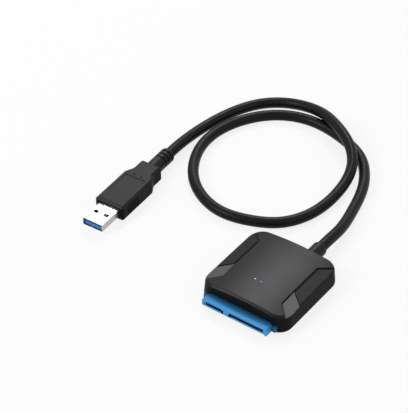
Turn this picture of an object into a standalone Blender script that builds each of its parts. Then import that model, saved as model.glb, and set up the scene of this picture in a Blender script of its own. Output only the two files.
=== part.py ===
"""USB to SATA adapter lead: a flat case with a 22-way SATA receptacle at its front, a moulded cable
that lies in one loop, and a USB A plug. Metres, +Z up. The origin is the centre of the case's
underside; the SATA receptacle faces -Y and the cable leaves towards +Y."""

import math

import bmesh
import bpy
import numpy as np
from mathutils import Matrix, Vector

# Clearances
FIT = 0.0003
SNUG = 0.00015
CONTACT_FIT = 0.0001
SOLDER_GAP = 0.00005
OVERCUT = 0.001

# Case: the outside of both shells together
CASE_WIDTH = 0.0498
CASE_DEPTH = 0.0504
CASE_HEIGHT = 0.0122
CASE_CORNER = 0.0074
CORNER_STEPS = 7
SIDE_STEPS = 10
WALL_LEAN = 0.0008
CROWN_RADIUS = 0.147
CROWN_LENGTH_RADIUS = 1.0
CROWN_COLUMNS = 20
CROWN_ROWS = 6
FOOT_ROUND = 0.0023
FOOT_STEPS = 4
ROOF_CHAMFER = 0.0009
WALL = 0.0016
ROOF = 0.0016
FLOOR = 0.0014
PARTING_HEIGHT = 0.0025
LIP_THICKNESS = 0.0010
LIP_RISE = 0.0022
BEAD_LENGTH = 0.0120
BEAD_RISE = 0.0014
BEAD_RADIUS = 0.00045

# Sunk panels along both sides of the roof, each with a raised pad at its rear
PANEL_INNER_X = 0.0167
PANEL_HALF_LENGTH = 0.0153
PANEL_STEP = 0.0003
PANEL_FALL = 0.0002
FACET_FALL = 0.0003
GROOVE_WIDTH = 0.0005
GROOVE_DEPTH = 0.0003
PAD_INSET = 0.0012
PAD_FRONT_Y = -0.0051
PAD_REAR_INSET = 0.0004
PAD_STEP = 0.00008
PAD_FRONT_SLOPE = 0.82

# SATA receptacle
SATA_TOP = 0.0062
SATA_BOTTOM = 0.0022
SATA_REACH = 0.0048
SATA_BAR_WIDTH = 0.0342
SATA_EAR_WIDTH = 0.0011
SATA_EAR_GAP = 0.0005
SATA_EAR_PLATE = 0.0015
SATA_EAR_CHAMFER = 0.0007
SATA_LEFT_EAR_FOOT = 0.0020
SATA_RIGHT_EAR_FOOT = 0.0016
SATA_RIGHT_EAR_STEP = 0.0003
SATA_FLANGE_WIDTH = 0.0412
SATA_FLANGE_FRONT = 0.0008
SATA_FLANGE_TOP = 0.0050
SATA_BODY_WIDTH = 0.0352
SATA_BODY_DEPTH = 0.0060
SATA_PITCH = 0.00127
SATA_SIGNAL_CONTACTS = 7
SATA_POWER_CONTACTS = 15
SATA_GROUP_PITCHES = 5
SATA_SLOT_MIDDLE = 0.0039
SATA_SLOT_HEIGHT = 0.0013
SATA_SLOT_DEPTH = 0.0062
SATA_SLOT_END = 0.0006
SATA_KEY_WIDTH = 0.0010
SATA_KEY_DROP = 0.0006
SATA_SIGNAL_KEY_OFFSET = 0.0019
SATA_POWER_KEY_OFFSET = 0.0014
SATA_CHANNEL_WIDTH = 0.0008
SATA_CHANNEL_HEIGHT = 0.00055
SATA_CONTACT_THICKNESS = 0.00025
SATA_CONTACT_INSET = 0.0007
SATA_CONTACT_BOW = 0.0003
SATA_CONTACT_BOW_LENGTH = 0.0024
SATA_TAIL_LENGTH = 0.0018

# Circuit board and the parts on it
BOARD_WIDTH = 0.0380
BOARD_REAR_Y = 0.0130
BOARD_THICKNESS = 0.0012
BOARD_CORNER = 0.0010
BOARD_TOP = 0.0037
BOARD_HOLE_X = 0.0170
BOARD_HOLE_INSET = 0.0025
BOARD_HOLE_RADIUS = 0.0010
POST_RADIUS = 0.0017
PIN_RISE = 0.0008

BRIDGE_CHIP_SIZE = (0.0070, 0.0070, 0.0009)
BRIDGE_CHIP_PLACE = (-0.0045, 0.0015)
FIRMWARE_CHIP_SIZE = (0.0050, 0.0040, 0.0015)
FIRMWARE_CHIP_PLACE = (-0.0130, 0.0030)
FIRMWARE_LEG_PITCH = 0.00127
FIRMWARE_LEG_COUNT = 4
FIRMWARE_LEG_WIDTH = 0.0004
FIRMWARE_LEG_REACH = 0.0009
FIRMWARE_LEG_THICKNESS = 0.0003
CRYSTAL_LENGTH = 0.0110
CRYSTAL_WIDTH = 0.0045
CRYSTAL_HEIGHT = 0.0035
CRYSTAL_PLACE = (-0.0045, -0.0060)
INDUCTOR_SIZE = (0.0060, 0.0060, 0.0028)
INDUCTOR_CHAMFER = 0.0010
INDUCTOR_PLACE = (0.0105, -0.0010)
CAPACITOR_SIZE = (0.0035, 0.0028, 0.0019)
CAPACITOR_PLACES = ((0.0145, 0.0060), (0.0095, 0.0060), (0.0145, -0.0080))
LED_SIZE = (0.0016, 0.0008, 0.0006)
LED_RED_X = -0.0023
LED_BLUE_X = 0.0011
LED_Y = -0.0093
LIGHT_PIPE_RADIUS = 0.0006
LIGHT_PIPE_COLLAR_RADIUS = 0.0011
LIGHT_PIPE_COLLAR = 0.0008
LIGHT_PIPE_SIDES = 16

# Cable, its boot in the case and the wires behind it
CABLE_RADIUS = 0.0029
CABLE_POINT_SPACING = 0.0110
BOOT_X = 0.0069
BOOT_HEIGHT = 0.0058
BOOT_RADIUS = 0.0038
BOOT_REACH = 0.0088
BOOT_SHOULDER = 0.0011
BOOT_NECK_RADIUS = 0.0032
BOOT_FLANGE_RADIUS = 0.0041
BOOT_FLANGE_THICKNESS = 0.0015
BOOT_SIDES = 24
WIRE_RADIUS = 0.0005
WIRE_PITCH = 0.0014
WIRE_ROWS = 2
WIRE_PAD_PITCH = 0.0021
WIRE_PAD_INSET = 0.0012
WIRE_COLOURS = {
    "red": "#c4302b",
    "white": "#e8e8e4",
    "green": "#2f8f4a",
    "black": "#1b1b1d",
    "blue": "#2c5fb8",
    "yellow": "#e0c53a",
    "violet": "#7a4aa0",
    "orange": "#e07a2c",
}

# Centreline of the cable from the case to the plug, chosen by hand: it leaves the boot straight, comes
# down to the table, makes one loop, passes over itself in a long low hump and rises into the plug
CABLE_ROUTE = (
    (0.0069, 0.0420, 0.0057),
    (0.0067, 0.0500, 0.0050),
    (0.0030, 0.0690, 0.0032),
    (-0.0034, 0.0898, 0.00295),
    (-0.0090, 0.0998, 0.00295),
    (-0.0168, 0.1086, 0.00295),
    (-0.0262, 0.1142, 0.00295),
    (-0.0358, 0.1176, 0.00295),
    (-0.0460, 0.1198, 0.00295),
    (-0.0560, 0.1200, 0.00295),
    (-0.0660, 0.1175, 0.00295),
    (-0.0750, 0.1120, 0.00295),
    (-0.0828, 0.1032, 0.00295),
    (-0.0908, 0.0800, 0.00295),
    (-0.0900, 0.0685, 0.00295),
    (-0.0862, 0.0573, 0.00295),
    (-0.0797, 0.0468, 0.00295),
    (-0.0675, 0.0362, 0.00295),
    (-0.0500, 0.0307, 0.00295),
    (-0.0345, 0.0337, 0.00295),
    (-0.0215, 0.0413, 0.00295),
    (-0.0140, 0.0530, 0.00295),
    (-0.0112, 0.0655, 0.00295),
    (-0.0110, 0.0770, 0.00315),
    (-0.0122, 0.0880, 0.0042),
    (-0.0155, 0.0980, 0.0060),
    (-0.0215, 0.1062, 0.0078),
    (-0.0295, 0.1126, 0.0090),
    (-0.0385, 0.1180, 0.0092),
    (-0.0480, 0.1228, 0.0082),
    (-0.0580, 0.1258, 0.0063),
    (-0.0680, 0.1262, 0.0045),
    (-0.0775, 0.1235, 0.0033),
    (-0.0855, 0.1170, 0.00295),
    (-0.0915, 0.1072, 0.00295),
    (-0.0985, 0.0815, 0.0030),
    (-0.0995, 0.0680, 0.0035),
)

# USB A plug. Its own frame has its origin on the plug's axis at the front face of the moulding, the
# nose towards -Y and the cable towards +Y
PLUG_PLACE = (-0.0962, -0.0024)
PLUG_TURN = math.radians(2.7)
MOULDING_THICKNESS = 0.0089
MOULDING_WIDTH = 0.0169
MOULDING_BODY_LENGTH = 0.0262
MOULDING_TAPER_LENGTH = 0.0046
MOULDING_NECK_WIDTH = 0.0121
MOULDING_NECK_LENGTH = 0.0076
MOULDING_CHAMFER = 0.0010
MOULDING_CORNER = 0.0012
GRIP_COUNT = 5
GRIP_PITCH = 0.0020
GRIP_WIDTH = 0.0008
GRIP_DEPTH = 0.0005
GRIP_START = 0.0048
RELIEF_RADIUS = 0.0041
RELIEF_LENGTH = 0.0152
RELIEF_END_RADIUS = 0.0034
RELIEF_END_ROUND = 0.0012
RELIEF_GROOVES = 3
RELIEF_GROOVE_WIDTH = 0.0008
RELIEF_GROOVE_DEPTH = 0.0008
RELIEF_GROOVE_PITCH = 0.0028
RELIEF_FIRST_GROOVE = 0.0070
RELIEF_SIDES = 24

SHELL_WIDTH = 0.0120
SHELL_THICKNESS = 0.0045
SHELL_REACH = 0.0142
SHELL_ROOT = 0.0045
SHELL_WALL = 0.0003
SHELL_CORNER = 0.0006
SHELL_WINDOW = (0.0025, 0.0021)
SHELL_WINDOW_X = 0.0031
SHELL_WINDOW_SETBACK = 0.0067
SHELL_NOTCH = (0.0028, 0.0005)
SHELL_NOTCH_SETBACK = 0.0022

TONGUE_SETBACK = 0.0008
TONGUE_THICKNESS = 0.0018
INSULATOR_BLOCK_FRONT = 0.0015
FLAT_CONTACT_X = (-0.0035, -0.0010, 0.0010, 0.0035)
FLAT_CONTACT_WIDTH = 0.0010
FLAT_CONTACT_SETBACK = 0.0008
SPRING_CONTACT_COUNT = 5
SPRING_CONTACT_PITCH = 0.0020
SPRING_CONTACT_WIDTH = 0.0007
SPRING_CONTACT_REACH = 0.0042
SPRING_CONTACT_RISE = 0.0010
USB_CONTACT_THICKNESS = 0.0002
USB_TAIL_LENGTH = 0.0018

# Places that follow from those sizes
FRONT_Y = -CASE_DEPTH / 2
REAR_Y = CASE_DEPTH / 2
SATA_FACE_Y = FRONT_Y - SATA_REACH
SATA_REAR_Y = FRONT_Y + SATA_BODY_DEPTH
SATA_SLOT_TOP = SATA_SLOT_MIDDLE + SATA_SLOT_HEIGHT / 2
SATA_CONTACT_HEIGHT = SATA_SLOT_TOP + SATA_CHANNEL_HEIGHT / 2 - SATA_CONTACT_THICKNESS / 4
BOARD_BOTTOM = BOARD_TOP - BOARD_THICKNESS
BOARD_FRONT_Y = SATA_REAR_Y + FIT
BOOT_END_Y = REAR_Y + BOOT_REACH
BOOT_INNER_Y = REAR_Y - WALL - WALL_LEAN - SNUG - BOOT_FLANGE_THICKNESS
PLUG_HEIGHT = MOULDING_THICKNESS / 2
NECK_END = MOULDING_BODY_LENGTH + MOULDING_TAPER_LENGTH + MOULDING_NECK_LENGTH
RELIEF_END = NECK_END + RELIEF_LENGTH
TONGUE_TOP = -SHELL_THICKNESS / 2 + SHELL_WALL + CONTACT_FIT + TONGUE_THICKNESS


def linear(channel):
    """One sRGB channel, 0 to 1, as the linear value that Blender's colours use."""
    if channel <= 0.04045:
        return channel / 12.92
    return ((channel + 0.055) / 1.055) ** 2.4


def material(name, colour, roughness, metallic=0.0):
    """A Principled material of this sRGB hex colour."""
    made = bpy.data.materials.get(name)
    if made:
        return made
    made = bpy.data.materials.new(name)
    made.use_nodes = True
    channels = [int(colour[i : i + 2], 16) / 255 for i in (1, 3, 5)]
    shader = made.node_tree.nodes["Principled BSDF"]
    shader.inputs["Base Color"].default_value = (*map(linear, channels), 1.0)
    shader.inputs["Roughness"].default_value = roughness
    shader.inputs["Metallic"].default_value = metallic
    return made


def new_object(name, mesh, collection, finish=None):
    """An object of this mesh in the collection, with its material."""
    obj = bpy.data.objects.new(name, mesh)
    collection.objects.link(obj)
    if finish:
        mesh.materials.clear()
        mesh.materials.append(finish)
    return obj


def mesh_from(bm, name):
    """The mesh of a bmesh, with its faces turned outwards."""
    bmesh.ops.recalc_face_normals(bm, faces=bm.faces)
    mesh = bpy.data.meshes.new(name)
    bm.to_mesh(mesh)
    bm.free()
    return mesh


def as_cutter(obj):
    """Marks an object as one that only cuts or joins others."""
    obj.hide_render = True
    obj.display_type = "WIRE"
    return obj


def cutter(name, mesh):
    return as_cutter(new_object(name, mesh, cutters))


def combine(obj, other, operation="DIFFERENCE"):
    """A Boolean modifier on the object."""
    modifier = obj.modifiers.new(f"{operation.lower()} {other.name}", "BOOLEAN")
    modifier.operation = operation
    modifier.object = other
    return obj


def baked_mesh(obj, name):
    """The object's evaluated shape as a plain mesh in world space, with loose caps welded."""
    graph = bpy.context.evaluated_depsgraph_get()
    mesh = bpy.data.meshes.new_from_object(obj.evaluated_get(graph))
    bm = bmesh.new()
    bm.from_mesh(mesh)
    bm.transform(obj.matrix_world)
    bmesh.ops.remove_doubles(bm, verts=bm.verts, dist=1e-6)
    bpy.data.meshes.remove(mesh)
    return mesh_from(bm, name)


def box(low, high):
    """A bmesh box between two corners."""
    bm = bmesh.new()
    add_box(bm, low, high)
    return bm


def add_box(bm, low, high):
    """Adds a box between two corners to a bmesh, and returns its vertices."""
    made = bmesh.ops.create_cube(bm, size=1.0)["verts"]
    for vert in made:
        for axis in range(3):
            middle = (low[axis] + high[axis]) / 2
            vert.co[axis] = middle + vert.co[axis] * (high[axis] - low[axis])
    return made


def add_cylinder(bm, place, radius, low, high, sides):
    """Adds an upright cylinder at (x, y) between two heights."""
    middle = Vector((*place, (low + high) / 2))
    bmesh.ops.create_cone(
        bm,
        cap_ends=True,
        segments=sides,
        radius1=radius,
        radius2=radius,
        depth=high - low,
        matrix=Matrix.Translation(middle),
    )


def upright_edges(bm):
    """The edges of a bmesh that stand nearly upright."""
    found = []
    for edge in bm.edges:
        along = edge.verts[1].co - edge.verts[0].co
        if abs(along.z) > 0.7 * along.length:
            found.append(edge)
    return found


def edges_at_height(bm, height):
    """The level edges of a bmesh that lie at this height."""
    found = []
    for edge in bm.edges:
        if all(abs(vert.co.z - height) < 1e-7 for vert in edge.verts):
            found.append(edge)
    return found


def bevel_edges(bm, edges, offset, segments):
    bmesh.ops.bevel(
        bm,
        geom=edges,
        offset=offset,
        offset_type="OFFSET",
        segments=segments,
        profile=0.5,
        affect="EDGES",
    )


def prism(outline, low, high):
    """A bmesh prism over an outline of (x, y) points. low is one height, or a function of x and y."""
    bm = bmesh.new()
    floor = low if callable(low) else lambda x, y: low
    face = bm.faces.new([bm.verts.new((x, y, floor(x, y))) for x, y in outline])
    raised = bmesh.ops.extrude_face_region(bm, geom=[face])["geom"]
    for item in raised:
        if isinstance(item, bmesh.types.BMVert):
            item.co.z = high
    return bm


def strip_outline(centreline, thickness):
    """The outline of a bent strip of this thickness along a centreline of 2D points."""
    points = [Vector(point) for point in centreline]
    sides = ([], [])
    for i, point in enumerate(points):
        before = (point - points[i - 1]).normalized() if i else None
        after = (points[i + 1] - point).normalized() if i + 1 < len(points) else None
        along = ((before or after) + (after or before)).normalized()
        across = Vector((-along.y, along.x))
        half = thickness / 2 / max(0.5, along.dot(after or before))
        sides[0].append(point + across * half)
        sides[1].append(point - across * half)
    return [tuple(point) for point in sides[0] + sides[1][::-1]]


def strip(name, centreline, thickness, width, x, finish):
    """A bent metal strip: its centreline of (y, z) points lies at this x, and its width is along X."""
    bm = prism(strip_outline(centreline, thickness), -width / 2, width / 2)
    for vert in bm.verts:
        y, z, side = vert.co
        vert.co = (x + side, y, z)
    return new_object(name, mesh_from(bm, name), parts, finish)


def smooth_route(points, spacing):
    """Points about this far apart along the natural cubic spline through a route's points."""
    knots = np.array(points, float)
    steps = np.linalg.norm(np.diff(knots, axis=0), axis=1)
    at = np.concatenate([[0.0], np.cumsum(steps)])
    count = len(knots)
    system = np.eye(count)
    slopes = np.zeros_like(knots)
    for i in range(1, count - 1):
        system[i, i - 1 : i + 2] = (steps[i - 1], 2 * (steps[i - 1] + steps[i]), steps[i])
        rise = (knots[i + 1] - knots[i]) / steps[i] - (knots[i] - knots[i - 1]) / steps[i - 1]
        slopes[i] = 6 * rise
    bends = np.linalg.solve(system, slopes)
    wanted = np.linspace(0.0, at[-1], max(2, round(at[-1] / spacing)) + 1)
    found = []
    for distance in wanted:
        i = min(max(int(np.searchsorted(at, distance)) - 1, 0), count - 2)
        step = steps[i]
        a = (at[i + 1] - distance) / step
        b = 1 - a
        curve = a * knots[i] + b * knots[i + 1]
        curve += ((a**3 - a) * bends[i] + (b**3 - b) * bends[i + 1]) * step**2 / 6
        found.append(tuple(curve))
    return found


def tube(name, points, radius, finish, resolution=2):
    """A round tube with closed ends along these points."""
    curve = bpy.data.curves.new(name, "CURVE")
    curve.dimensions = "3D"
    curve.bevel_depth = radius
    curve.bevel_resolution = resolution
    curve.use_fill_caps = True
    spline = curve.splines.new("POLY")
    spline.points.add(len(points) - 1)
    for point, place in zip(spline.points, points):
        point.co = (*place, 1.0)
    curve.materials.append(finish)
    obj = bpy.data.objects.new(name, curve)
    parts.objects.link(obj)
    return obj


def turned(name, profile, sides, collection):
    """A solid turned about the Z axis from (radius, height) points that run from its top to its foot."""
    bm = bmesh.new()
    verts = [bm.verts.new((radius, 0.0, height)) for radius, height in profile]
    for first, second in zip(verts, verts[1:]):
        bm.edges.new((first, second))
    mesh = bpy.data.meshes.new(name)
    bm.to_mesh(mesh)
    bm.free()
    obj = new_object(name, mesh, collection)
    screw = obj.modifiers.new("turn", "SCREW")
    screw.axis = "Z"
    screw.steps = sides
    screw.render_steps = sides
    screw.use_merge_vertices = True
    screw.merge_threshold = 1e-6
    return obj


def turned_along_y(name, profile, sides, place):
    """A turned cutter or joiner whose axis runs along +Y from a place."""
    obj = turned(name, profile, sides, cutters)
    obj.matrix_world = Matrix.Translation(place) @ Matrix.Rotation(-math.pi / 2, 4, "X")
    return as_cutter(obj)


def case_block(inset, low, high, foot_round):
    """A block with the case's plan and leaning walls, moved in by this inset."""
    half_width = CASE_WIDTH / 2 - inset
    half_depth = CASE_DEPTH / 2 - inset
    bm = box((-half_width, -half_depth, low), (half_width, half_depth, high))
    for vert in bm.verts:
        lean = WALL_LEAN * vert.co.z / CASE_HEIGHT
        vert.co.x -= math.copysign(lean, vert.co.x)
        vert.co.y -= math.copysign(lean, vert.co.y)
    bevel_edges(bm, upright_edges(bm), CASE_CORNER - inset, CORNER_STEPS)
    if foot_round > 0:
        bevel_edges(bm, edges_at_height(bm, low), foot_round, FOOT_STEPS)
    return bm


def crown_height(x, y, below=0.0):
    """Height of the crowned roof over a point of the plan, or of the surface this far below it."""
    across = CROWN_RADIUS - math.sqrt(CROWN_RADIUS**2 - x**2)
    along = CROWN_LENGTH_RADIUS - math.sqrt(CROWN_LENGTH_RADIUS**2 - y**2)
    return CASE_HEIGHT - below - across - along


def crown_block(name, below):
    """A block wider than the case, whose top is the crowned surface this far below the roof."""
    bm = bmesh.new()
    half_width = CASE_WIDTH / 2 + OVERCUT
    half_depth = CASE_DEPTH / 2 + OVERCUT
    rows = []
    for j in range(CROWN_ROWS + 1):
        y = half_depth * (2 * j / CROWN_ROWS - 1)
        row = []
        for i in range(CROWN_COLUMNS + 1):
            x = half_width * (2 * i / CROWN_COLUMNS - 1)
            row.append(bm.verts.new((x, y, crown_height(x, y, below))))
        rows.append(row)
    top = []
    for near, far in zip(rows, rows[1:]):
        for i in range(CROWN_COLUMNS):
            top.append(bm.faces.new((near[i], near[i + 1], far[i + 1], far[i])))
    sunk = bmesh.ops.extrude_face_region(bm, geom=top)["geom"]
    for item in sunk:
        if isinstance(item, bmesh.types.BMVert):
            item.co.z = -OVERCUT
    return cutter(name, mesh_from(bm, name))


def crowned_case(name, inset, low, crown_inset, foot_round):
    """The case's solid under its crowned roof, moved in by the wall and the roof."""
    high = CASE_HEIGHT + OVERCUT
    block = cutter(f"{name}_block", mesh_from(case_block(inset, low, high, foot_round), name))
    combine(block, crown_block(f"{name}_crown", crown_inset), "INTERSECT")
    return baked_mesh(block, name)


def wall_point(corner, turn, inset, height):
    """A point on a corner of the case's plan, moved in by this inset, at this height of the walls."""
    lean = WALL_LEAN * height / CASE_HEIGHT
    side_x, side_y = corner
    centre_x = side_x * (CASE_WIDTH / 2 - CASE_CORNER - lean)
    centre_y = side_y * (CASE_DEPTH / 2 - CASE_CORNER - lean)
    reach = CASE_CORNER - inset
    return Vector((centre_x + reach * math.cos(turn), centre_y + reach * math.sin(turn), height))


def wall_ring(inset, height):
    """A ring of points round the case. height is one height, or a function of x and y."""
    level = height if callable(height) else lambda x, y: height
    found = []
    corners = ((1, 1), (-1, 1), (-1, -1), (1, -1))
    for i, corner in enumerate(corners):
        for step in range(CORNER_STEPS + 1):
            turn = (i + step / CORNER_STEPS) * math.pi / 2
            rough = wall_point(corner, turn, inset, CASE_HEIGHT)
            found.append(wall_point(corner, turn, inset, level(rough.x, rough.y)))
    ring = []
    per_corner = CORNER_STEPS + 1
    for i, point in enumerate(found):
        ring.append(point)
        if i % per_corner == CORNER_STEPS:
            following = found[(i + 1) % len(found)]
            for step in range(1, SIDE_STEPS):
                x, y, z = point.lerp(following, step / SIDE_STEPS)
                ring.append(Vector((x, y, level(x, y) if callable(height) else z)))
    return ring


def case_outside():
    """The case's outside: the rounded foot, the leaning walls and the chamfer under the crowned roof."""
    rings = []
    for step in range(FOOT_STEPS + 1):
        turn = step / FOOT_STEPS * math.pi / 2
        inset = FOOT_ROUND * (1 - math.sin(turn))
        rings.append(wall_ring(inset, FOOT_ROUND * (1 - math.cos(turn))))
    low = wall_ring(0.0, lambda x, y: crown_height(x, y, ROOF_CHAMFER))
    high = wall_ring(ROOF_CHAMFER, crown_height)
    past = 1 + OVERCUT / ROOF_CHAMFER
    over = [near.lerp(far, past) for near, far in zip(low, high)]
    rings += [low, over, [Vector((point.x, point.y, CASE_HEIGHT + 2 * OVERCUT)) for point in over]]
    bm = bmesh.new()
    made = [[bm.verts.new(point) for point in ring] for ring in rings]
    count = len(rings[0])
    for near, far in zip(made, made[1:]):
        for i in range(count):
            j = (i + 1) % count
            bm.faces.new((near[i], near[j], far[j]))
            bm.faces.new((near[i], far[j], far[i]))
    bm.faces.new(made[0][::-1])
    bm.faces.new(made[-1])
    block = cutter("case_outside_block", mesh_from(bm, "case_outside_block"))
    combine(block, crown_block("case_outside_crown", 0.0), "INTERSECT")
    return baked_mesh(block, "case_outside")


def border_line(offset):
    """Plan line of a side panel's border on +X, moved inwards by this offset, out past the walls."""
    reach = CASE_WIDTH / 2 + OVERCUT
    x = PANEL_INNER_X + offset
    y = PANEL_HALF_LENGTH + offset * (1 - math.sqrt(2))
    run = reach - x
    return [(reach, y + run), (x, y), (x, facet_start()), (x, -y), (reach, -y - run)]


def pad_line(offset):
    """Plan line of the pad's border on +X, moved inwards by this offset, out past the walls."""
    reach = CASE_WIDTH / 2 + OVERCUT
    x = PANEL_INNER_X + PAD_INSET + offset
    rear = PANEL_HALF_LENGTH - PAD_REAR_INSET + offset * (1 - math.sqrt(2))
    front = PAD_FRONT_Y + offset * (math.hypot(1, PAD_FRONT_SLOPE) - PAD_FRONT_SLOPE)
    run = reach - x
    return [(reach, rear + run), (x, rear), (x, front), (reach, front - run * PAD_FRONT_SLOPE)]


def facet_start():
    """Where the panel's floor starts to tip towards the front, level with the groove round the pad."""
    half = GROOVE_WIDTH / 2
    return PAD_FRONT_Y - half * (math.hypot(1, PAD_FRONT_SLOPE) - PAD_FRONT_SLOPE)


def panel_floor(step, tips=True):
    """The slanted floor of a side panel, this far under the roof at the end of its inner edge. The
    facet in front of the pad also tips towards the front."""
    edge_x = CASE_WIDTH / 2 - WALL_LEAN
    inner = crown_height(PANEL_INNER_X, PANEL_HALF_LENGTH) - step
    outer = crown_height(edge_x, PANEL_HALF_LENGTH) - step - PANEL_FALL
    fall = (inner - outer) / (edge_x - PANEL_INNER_X)
    tip = FACET_FALL / (PANEL_HALF_LENGTH + PAD_FRONT_Y) if tips else 0.0
    start = facet_start()
    return lambda x, y: inner - fall * (abs(x) - PANEL_INNER_X) - tip * max(0.0, start - y)


def ribbon(left, right, floor):
    """A bmesh block between two plan lines of as many points, open to the roof, over this floor."""
    bm = bmesh.new()
    top = CASE_HEIGHT + OVERCUT
    low = [[bm.verts.new((x, y, floor(x, y))) for x, y in line] for line in (left, right)]
    high = [[bm.verts.new((x, y, top)) for x, y in line] for line in (left, right)]
    for i in range(len(left) - 1):
        j = i + 1
        bm.faces.new((low[0][i], low[0][j], low[1][j]))
        bm.faces.new((low[0][i], low[1][j], low[1][i]))
        bm.faces.new((high[0][i], high[1][i], high[1][j], high[0][j]))
        for near, far in zip(low, high):
            bm.faces.new((near[i], near[j], far[j], far[i]))
    for i in (0, -1):
        bm.faces.new((low[0][i], low[1][i], high[1][i], high[0][i]))
    return bm


def cut_panels(shell):
    """Sinks the two side panels into the roof: first to the pad's level, then the rim and the facet
    round the pad, then the fine grooves, whose walls cover where the two floors begin."""
    half = GROOVE_WIDTH / 2
    reach = CASE_WIDTH / 2 + OVERCUT
    area = border_line(half)
    outer_side = [(reach, y) for _, y in area]
    rim = border_line(half / 2)
    inner_side = pad_line(-half)
    inner_side.insert(3, inner_side[2])
    rim_floor = panel_floor(PANEL_STEP)
    groove_floor = panel_floor(PANEL_STEP + GROOVE_DEPTH)
    cuts = (
        ("panel", area, outer_side, panel_floor(PAD_STEP, tips=False)),
        ("rim", rim, inner_side, rim_floor),
        ("border_groove", border_line(0.0), border_line(GROOVE_WIDTH), groove_floor),
        ("pad_groove", pad_line(-GROOVE_WIDTH), pad_line(0.0), groove_floor),
    )
    for side, label in ((1, "right"), (-1, "left")):
        for name, left, right, floor in cuts:
            lines = [[(side * x, y) for x, y in line] for line in (left, right)]
            mesh = mesh_from(ribbon(*lines, floor), name)
            combine(shell, cutter(f"{name}_{label}", mesh))


def sata_opening():
    """The window that both shells leave for the receptacle: wide at its flange, narrower over it."""
    wide = SATA_FLANGE_WIDTH / 2 + SNUG
    narrow = SATA_BODY_WIDTH / 2 + SNUG
    front = FRONT_Y - OVERCUT
    rear = FRONT_Y + 2 * WALL + WALL_LEAN + LIP_THICKNESS
    bottom, top = SATA_BOTTOM - SNUG, SATA_TOP + SNUG
    flange = box((-wide, front, bottom), (wide, rear, SATA_FLANGE_TOP + SNUG))
    window = cutter("flange_window", mesh_from(flange, "flange_window"))
    body = box((-narrow, front, SATA_BOTTOM), (narrow, rear, top))
    combine(window, cutter("body_window", mesh_from(body, "body_window")), "UNION")
    return window


def boot_opening():
    """The notch for the boot's neck: round at its top and open towards the parting."""
    reach = BOOT_NECK_RADIUS + SNUG
    low_y = REAR_Y - 2 * WALL - WALL_LEAN - LIP_THICKNESS
    bm = box(
        (BOOT_X - reach, low_y, BOOT_HEIGHT - reach),
        (BOOT_X + reach, REAR_Y + OVERCUT, BOOT_HEIGHT),
    )
    block = cutter("boot_notch", mesh_from(bm, "boot_notch"))
    length = REAR_Y + OVERCUT - low_y
    profile = ((0.0, length), (reach, length), (reach, 0.0), (0.0, 0.0))
    combine(
        block,
        turned_along_y("boot_notch_top", profile, BOOT_SIDES, (BOOT_X, low_y, BOOT_HEIGHT)),
        "UNION",
    )
    return block


def boot_flange_gap():
    """The gap in the lip where the boot's flange stands."""
    reach = BOOT_FLANGE_RADIUS + SNUG
    bm = box(
        (BOOT_X - reach, BOOT_INNER_Y - OVERCUT, BOOT_HEIGHT - reach),
        (BOOT_X + reach, REAR_Y - WALL - FIT, BOOT_HEIGHT),
    )
    return cutter("boot_flange_gap", mesh_from(bm, "boot_flange_gap"))


def half_space(name, low, high):
    """A block wider than the case between two heights."""
    reach = max(CASE_WIDTH, CASE_DEPTH)
    return cutter(name, mesh_from(box((-reach, -reach, low), (reach, reach, high)), name))


def snap_beads(name, radius, length):
    """The beads on the lip's two sides that hold the shells together, or the grooves for them."""
    bm = bmesh.new()
    height = PARTING_HEIGHT + BEAD_RISE
    lean = WALL_LEAN * height / CASE_HEIGHT
    for side in (1, -1):
        x = side * (CASE_WIDTH / 2 - WALL - FIT - lean)
        turn = Matrix.Rotation(math.pi / 2, 4, "X")
        bmesh.ops.create_cone(
            bm,
            cap_ends=True,
            segments=8,
            radius1=radius,
            radius2=radius,
            depth=length,
            matrix=Matrix.Translation((x, 0.0, height)) @ turn,
        )
    return cutter(name, mesh_from(bm, name))


def light_pipe_holes():
    bm = bmesh.new()
    for x in (LED_RED_X, LED_BLUE_X):
        low = CASE_HEIGHT - ROOF - 2 * OVERCUT
        high = CASE_HEIGHT + OVERCUT
        add_cylinder(bm, (x, LED_Y), LIGHT_PIPE_RADIUS + SNUG, low, high, LIGHT_PIPE_SIDES)
    return cutter("light_pipe_holes", mesh_from(bm, "light_pipe_holes"))


def make_shells():
    """The roof with the walls, and the floor with the lip that snaps into them."""
    finish = material("black_abs", "#2a2a2c", 0.55)
    outside = case_outside()
    inside_foot = max(FOOT_ROUND - WALL, 0.0)
    inside = cutter("case_inside", crowned_case("case_inside", WALL, FLOOR, ROOF, inside_foot))
    window = sata_opening()
    notch = boot_opening()

    top = new_object("top_shell", outside, parts, finish)
    combine(top, half_space("below_parting", -OVERCUT, PARTING_HEIGHT + SNUG))
    combine(top, inside)
    cut_panels(top)
    combine(top, window)
    combine(top, notch)
    combine(top, light_pipe_holes())
    combine(top, snap_beads("bead_grooves", BEAD_RADIUS + SNUG, BEAD_LENGTH + 2 * SNUG))

    bottom = new_object("bottom_shell", outside.copy(), parts, finish)
    combine(bottom, half_space("above_parting", PARTING_HEIGHT, CASE_HEIGHT + OVERCUT))
    combine(bottom, inside)
    combine(bottom, shell_lip(), "UNION")
    combine(bottom, snap_beads("beads", BEAD_RADIUS, BEAD_LENGTH), "UNION")
    combine(bottom, board_posts(), "UNION")
    combine(bottom, window)
    combine(bottom, notch)
    combine(bottom, boot_flange_gap())


def shell_lip():
    """The ring on the floor that stands inside the walls."""
    low = FLOOR - SNUG
    high = PARTING_HEIGHT + LIP_RISE
    ring = cutter("lip", mesh_from(case_block(WALL + FIT, low, high, 0.0), "lip"))
    hollow = case_block(WALL + FIT + LIP_THICKNESS, low - OVERCUT, high + OVERCUT, 0.0)
    combine(ring, cutter("lip_hollow", mesh_from(hollow, "lip_hollow")))
    return ring


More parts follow.
